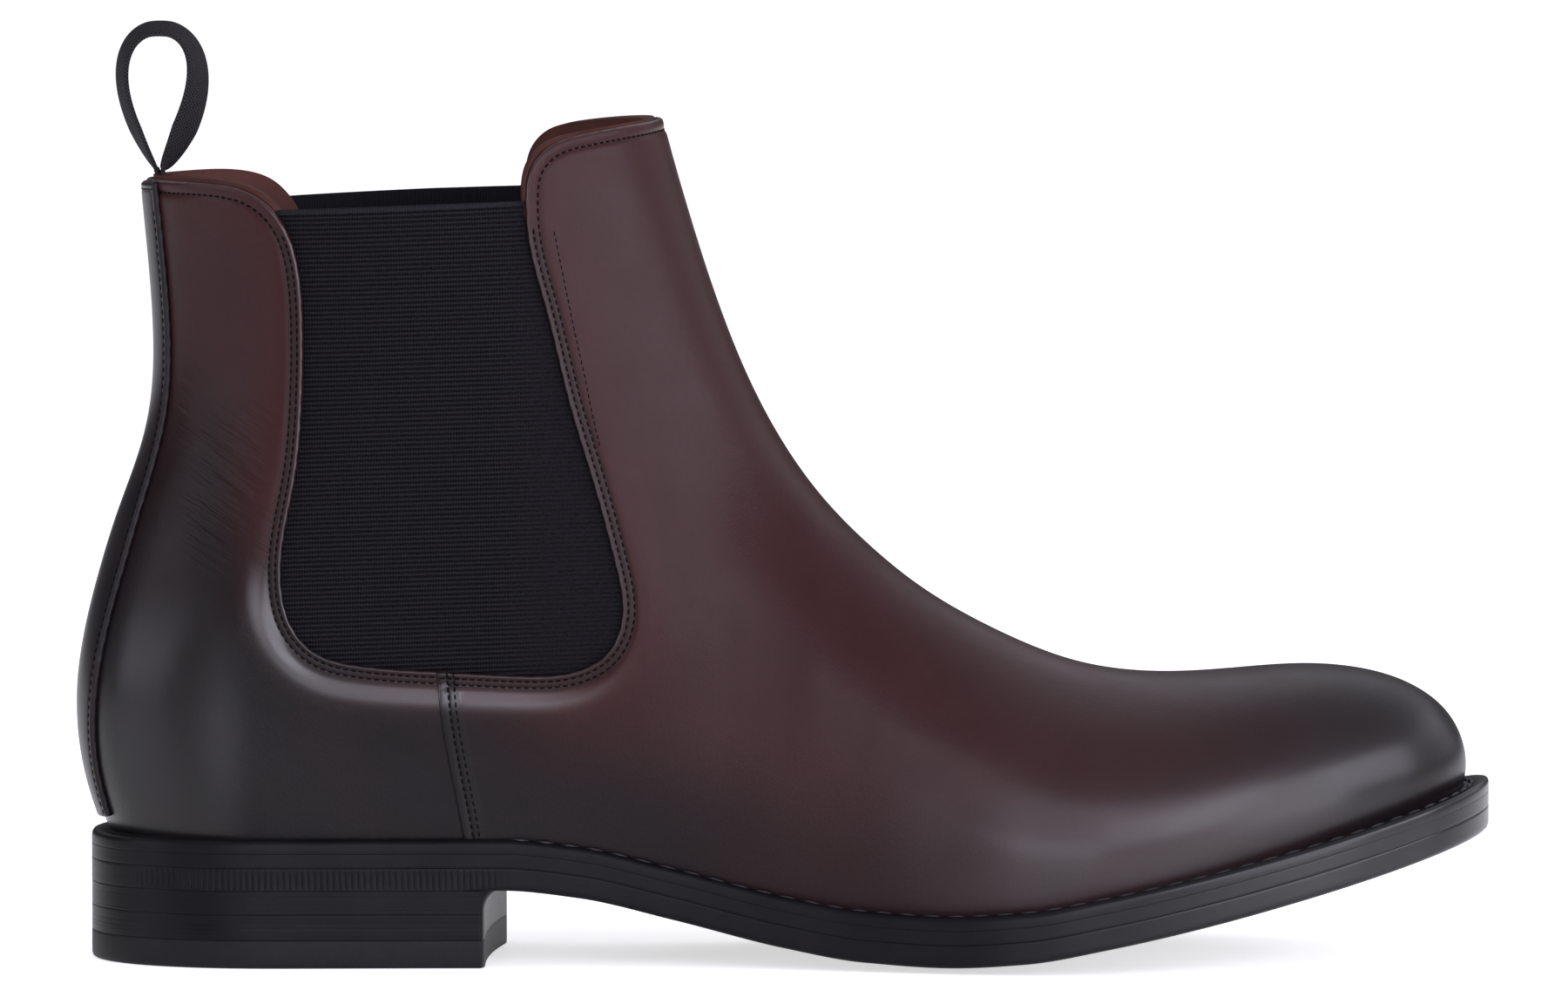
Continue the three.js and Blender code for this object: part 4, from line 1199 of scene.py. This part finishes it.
def heel_ring(inset, forward):
    """Plan of the heel at this inset, its breast moved forward by this much. It runs clockwise."""
    ring = outline(inset)
    y = base_line[:, 1]
    limit = np.where(y < 0, BREAST_LATERAL, BREAST_MEDIAL) - 1.0
    back = ring[:, 0] < limit
    start = int(np.flatnonzero(back & ~np.roll(back, 1))[0])
    side = np.roll(ring, -start, 0)[: back.sum()]
    t = np.linspace(0, 1, 61)[1:-1]
    (ax, ay), (bx, by) = side[-1], side[0]
    ends = (BREAST_LATERAL, BREAST_MEDIAL)
    x0, x1 = ends if ay < by else ends[::-1]
    bow = BREAST_HOLLOW * 4 * t * (1 - t)
    corner = 1 - np.abs(2 * t - 1) ** 14
    chord = ax + (bx - ax) * t
    x = chord + (x0 + (x1 - x0) * t - bow + forward - chord) * corner
    breast = np.stack([x, ay + (by - ay) * t], 1)
    return np.vstack([side, breast])


def heel_piece(name, profile, material, node):
    """profile lists (inset, breast forward, z) from bottom to top."""
    rings = [heel_ring(inset, forward) for inset, forward, _ in profile]
    n = len(rings[0])
    points = np.vstack([
        np.column_stack([ring, np.full(n, z)]) for ring, (_, _, z) in zip(rings, profile)
    ])
    faces = bands(n, range(0, len(points), n)) + end_faces(n, len(points))
    made = make_object(name, points, faces, material)
    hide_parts(node)


def striations(low, high, seed, lip=0.05):
    """The wavering edge of a leather lift: (inset, forward, z) rows with rounded corners."""
    chance = np.random.default_rng(seed)
    rows = [(0.1, 0.0, low), (lip, 0.0, low + 0.06)]
    for z in np.arange(low + 0.3, high - 0.2, 0.24):
        rows.append((0.01 + 0.05 * chance.random(), 0.0, z))
    return rows + [(lip, 0.0, high - 0.06), (0.1, 0.0, high)]


def flare(rows):
    """The breast curves forward to meet the waist."""
    start = HEEL_SEAT_Z - FILLET
    out = []
    for inset, _, z in rows:
        up = min(max((z - start) / FILLET, 0), 0.995)
        out.append((inset, FILLET * (1 - math.sqrt(1 - up * up)), z))
    return out


def heel():
    upper = flare(striations(HEEL_JOINT_Z, HEEL_SEAT_Z, 3))
    heel_piece("heel_lift_upper_leather", upper, EDGE_MATERIAL, "heel_lift_upper")
    lower = striations(TOP_LIFT, HEEL_JOINT_Z, 5)
    heel_piece("heel_lift_lower_leather", lower, EDGE_MATERIAL, "heel_lift_lower")
    top_lift = [(1.5, 0, 0), (0.6, 0, 0.1), (0.2, 0, 0.4), (0.02, 0, 1.0), (0, 0, 3), (0, 0, 5.4),
                (0.04, 0, 6.0), (0.12, 0, 6.18)]
    heel_piece("top_lift_rubber", top_lift, RUBBER_MATERIAL, "top_lift")


heel()


# ---------------- the pull loop
def loop_line():
    """The tape's middle line, its angle round the teardrop and its share of the loop's height."""
    steps, tail = 180, 24
    ends_apart, tails_apart = 0.75, 0.52  # from the middle to each end, at the loop's foot and below
    t = math.pi * (2 * np.arange(steps + 1) / steps - 1)
    rise = (1 + np.cos(t)) / 2
    x = LOOP_BASE[0] + LOOP_WIDTH / 2 * np.sin(t) * np.sqrt(rise) * 1.3 + np.sign(t) * ends_apart
    x[steps // 2] = LOOP_BASE[0]
    x = average(x, 3)
    z = LOOP_BASE[1] + LOOP_HEIGHT * rise
    down = np.linspace(LOOP_FOOT[1], LOOP_BASE[1], tail, endpoint=False)
    inner = smoothstep(LOOP_FOOT[1], LOOP_BASE[1], down)
    inner = LOOP_FOOT[0] + (LOOP_BASE[0] - LOOP_FOOT[0]) * inner
    x = np.concatenate([inner - tails_apart, x, (inner + tails_apart)[::-1]])
    z = np.concatenate([down, z, down[::-1]])
    t = np.pad(t, tail, "edge")
    rise = np.pad(rise, tail)
    return np.stack([x, 0 * x, z], 1), t, rise


def tape_directions(middle, t):
    """Unit directions across the tape and out of its face. It twists more on its front half."""
    along = unit(np.gradient(middle, axis=0))
    twist = 0.27 + 0.3 * smoothstep(0.3, 2.0, t)
    twist = (twist * np.minimum(1, 1.9 * np.cos(t / 2)))[:, None]
    level = np.tile([0.0, 1.0, 0.0], (len(t), 1))
    across = level * np.cos(twist) + np.cross(along, level) * np.sin(twist)
    return across, np.cross(along, across)


def tape_section(columns=18, half_thickness=0.5):
    """The tape's cross-section as (share of its half width, height), with rounded edges."""
    u = np.linspace(-1, 1, columns)
    edge = half_thickness * np.sqrt(np.maximum(0, 1 - np.abs(u) ** 10))
    return list(zip(u, edge)) + list(zip(u[::-1], -edge[::-1]))[1:-1]


def pull_loop():
    """A folded tape: a teardrop in side view, whose two ends run down between strap and lining."""
    middle, t, rise = loop_line()
    across, face = tape_directions(middle, t)
    section = tape_section()
    rings = []
    for w, h in section:
        sag = 0.25 * w**2 * np.minimum(1, 4 * rise)[:, None]
        rings.append(middle + across * (w * TAPE_WIDTH / 2) + face * (h - sag))
    n, steps = len(section), len(middle) - 1
    faces = [
        [s * n + i, (s + 1) * n + i, (s + 1) * n + (i + 1) % n, s * n + (i + 1) % n]
        for s in range(steps) for i in range(n)
    ]
    faces += [end[::-1] for end in end_faces(n, n * len(middle))]
    attributes = {
        "across": np.tile([w * TAPE_WIDTH / 2 for w, _ in section], len(middle)),
        "along": np.repeat(run_length(middle), n),
    }
    points = np.stack(rings, 1).reshape(-1, 3)
    tape = make_object("pull_loop_tape", points, faces, WEBBING_MATERIAL, None, attributes)
    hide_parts("pull_loop", "pull_loop_ends")
    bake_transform(tape)


pull_loop()


# ---------------- stitches
def capsule(length, radius, sides=6):
    """Points and faces of one stitch along x, standing in the surface at z = 0."""
    rings = [(-0.5, 0.35), (-0.38, 0.85), (-0.15, 1.0), (0.15, 1.0), (0.38, 0.85), (0.5, 0.35)]
    points = []
    for share, wide in rings:
        reach, dip = radius * wide, radius * (1 - wide) * 0.9
        for k in range(sides):
            turn = 2 * math.pi * k / sides
            points.append((share * length, reach * math.cos(turn), reach * math.sin(turn) - dip))
    faces = bands(sides, range(0, len(points), sides)) + end_faces(sides, len(points))
    return np.array(points), faces


def along_line(at, length, values):
    """Values given at each length along a line, read at other lengths."""
    return np.stack([np.interp(at, length, column) for column in values.T], 1)


def sew(name, seams, material):
    """The stitches of some seams, as one piece. A seam is (points, normals, pitch, length, radius)."""
    all_points, all_faces = [], []
    total, reach = 0, 0.3
    for points, normals, pitch, length, radius in seams:
        run = run_length(points)
        at = np.arange(pitch / 2, run[-1], pitch)
        middle, up = along_line(at, run, points), along_line(at, run, normals)
        ahead = along_line(at + reach, run, points) - along_line(at - reach, run, points)
        shape, faces = capsule(length, radius)
        for m, d, n in zip(middle, ahead, up):
            d = unit(d)
            side = unit(np.cross(n, d))
            all_points.append(m + shape @ np.stack([d, side, np.cross(d, side)]))
            all_faces += [[i + total for i in f] for f in faces]
            total += len(shape)
    make_object(name, np.vstack(all_points), all_faces, material)


def beside(line, distance, shape, turn=1, pitch=1.7, length=1.25, radius=0.24):
    """A row of stitches to the left (turn = 1) or right of an edge line, on a face of this shape."""
    line = walk(line, 0.5)
    path = sideways(line, distance, closed=False, sign=turn)
    path = np.stack([average(column, 2) for column in path.T], 1)
    path = path[(path[:, 1] > 0.004) & (path[:, 1] < 0.999)]
    height = shape(*path.T, last_point(*path.T))[0]
    return upper_point(*path.T, height + 0.03), slopes(*path.T)[2], pitch, length, radius


def upper_seams():
    """Two rows round each gore, one row along the mouth and two rows down each side seam."""
    seams = []
    for mirror, turn in ((same, 1), (both, -1)):
        front, rear = mirror(front_edge), mirror(rear_edge)
        for line, way, shape in ((front, -turn, vamp_shape), (rear, turn, quarter_shape)):
            z = last_point(*line.T)[:, 2]
            seams.append(beside(line[z < 161], 1.25, shape, way))
            seams.append(beside(line, 2.6, shape, way))
        lap = mirror(seam_param)
        for distance in (2.2, 3.6):
            seams.append(beside(lap, distance, vamp_shape, turn))
        seams.append(beside(mirror(unwrap(np.array(GORE_HEM))), 0.0, vamp_shape, 1, 1.5, 1.0, 0.13))
    for line, sign in ((strap_right, 1), (strap_left, -1)):
        seams.append(beside(line[:-3], 1.5, strap_shape, sign, pitch=1.8, radius=0.2))
    top = np.linspace(strap_left[-1], strap_right[-1], 30)
    seams.append(beside(top, 1.5, strap_shape, -1, pitch=1.8, radius=0.2))
    return seams


def welt_seam():
    """The long lockstitches that hold the welt to the sole, from the waist round the toe."""
    path = outline(base_ledge * 0.56)  # the middle of the welt's groove
    keep = base_line[:, 0] > -60
    start = int(np.flatnonzero(keep & ~np.roll(keep, 1))[0])
    path = np.roll(path, -start, 0)[: keep.sum()]
    points = at_level(path, WELT_TOP + 0.02)
    normals = np.tile([0.0, 0.0, 1.0], (len(points), 1))
    pitch, length, radius = 5.4, 4.3, 0.5
    return points, normals, pitch, length, radius


sew("upper_stitches", upper_seams(), THREAD_MATERIAL)
sew("welt_stitches", [welt_seam()], WELT_THREAD_MATERIAL)


# ---------------- pieces kept from the CAD
def carried_over():
    """The pieces inside the boot keep their CAD shape and get a real material."""
    board = plain("leatherboard", (0.30, 0.23, 0.15), (0.42, 0.33, 0.23), 0.85, 3.0, 0.15)
    canvas = plain("canvas", (0.42, 0.38, 0.30), (0.60, 0.55, 0.46), 0.95, 1.2, 0.2)
    cork = plain("cork", (0.16, 0.08, 0.035), (0.36, 0.21, 0.10), 0.95, 2.4, 0.4)
    choices = {
        board: ["heel_counter", "toe_puff"],
        canvas: ["vamp_interlining", "quarter_interlining", "insole_rib"],
        cork: ["cork_filler"],
        NATURAL_MATERIAL: ["insole"],
        LINING_MATERIAL: ["sock_liner"],
        STEEL_MATERIAL: ["shank", *[f"heel_nail_{i}" for i in range(1, 6)]],
        BRASS_MATERIAL: [f"top_lift_nail_{i}" for i in range(1, 7)],
    }
    for material, nodes in choices.items():
        for name in nodes:
            node = bpy.data.objects[name]
            node.data.materials.clear()
            node.data.materials.append(material)


carried_over()


# ---------------- camera, light and floor
# Softboxes: name, azimuth, height angle, distance, size in metres, and radiance.
SOFTBOXES = [
    ("left", -70, 14, 2.0, (1.45, 0.8), 3.0),
    ("low_left", -8, 4, 2.5, (1.3, 0.3), 6.5),
    ("front", 2, 23, 4.2, (3.4, 2.4), 2.9),
    ("low_right", 42, 1.5, 2.4, (1.5, 0.26), 6.5),
    ("right", 32, 17, 2.0, (1.4, 0.85), 4.8),
    ("far_right", 72, 17, 2.0, (1.4, 0.85), 6.5),
    ("rear_right", 120, 18, 2.0, (1.4, 0.9), 0.9),
]
SOFTBOX_COLOUR, OVERHEAD_COLOUR = (1, 0.985, 1.12), (1, 0.985, 1.1)
LIT_POINT = Vector((0, 0, 0.06))
FLOOR_HALF = 30  # metres


def towards(azimuth, height):
    """The direction at this azimuth, from 0 on the lateral side to 90 at the toe, and height angle."""
    turn, rise = math.radians(azimuth), math.radians(height)
    return Vector((math.sin(turn) * math.cos(rise), -math.cos(turn) * math.cos(rise), math.sin(rise)))


def place_camera():
    aim, distance, elevation = Vector((0, 0, 99.2 * MM)), 3500 * MM, 4
    camera = link("camera", bpy.data.cameras.new("camera"))
    camera.data.lens, camera.data.sensor_width = 367.6, 36
    camera.location = aim + towards(0, elevation) * distance
    camera.rotation_euler = (aim - camera.location).to_track_quat("-Z", "Y").to_euler()
    camera.data.clip_end = 50
    bpy.context.scene.camera = camera


def place_lights():
    for name, azimuth, height, away, size, radiance in SOFTBOXES:
        data = bpy.data.lights.new(name, "AREA")
        data.shape, data.size, data.size_y = "RECTANGLE", *size
        data.energy = radiance * math.pi * size[0] * size[1]
        data.color = SOFTBOX_COLOUR
        way = towards(azimuth, height)
        light = link(name, data)
        light.location = LIT_POINT + way * away
        light.rotation_euler = (-way).to_track_quat("-Z", "Y").to_euler()
    overhead = bpy.data.lights.new("overhead", "SUN")
    overhead.energy, overhead.angle = 1.5, math.radians(125)
    overhead.color = OVERHEAD_COLOUR
    link("overhead", overhead).rotation_euler = (math.radians(-8), math.radians(4), 0)


def lay_floor():
    corners = [(-1, -1), (1, -1), (1, 1), (-1, 1)]
    mesh = bpy.data.meshes.new("floor")
    mesh.from_pydata([(x * FLOOR_HALF, y * FLOOR_HALF, 0) for x, y in corners], [], [(0, 1, 2, 3)])
    material, _, surface = shader("floor", 0.35)
    surface.inputs["Base Color"].default_value = (0.92, 0.92, 0.925, 1)
    surface.inputs["Emission Color"].default_value = (1, 1, 1, 1)
    surface.inputs["Emission Strength"].default_value = 0.6
    mesh.materials.append(material)
    link("floor", mesh)


def light_world():
    world = bpy.data.worlds.new("world")
    world.use_nodes = True
    background = world.node_tree.nodes["Background"].inputs
    background["Color"].default_value = (1, 1, 1, 1)
    background["Strength"].default_value = 0.1
    bpy.context.scene.world = world
    bpy.context.scene.view_settings.view_transform = "Standard"


place_camera()
place_lights()
lay_floor()
light_world()
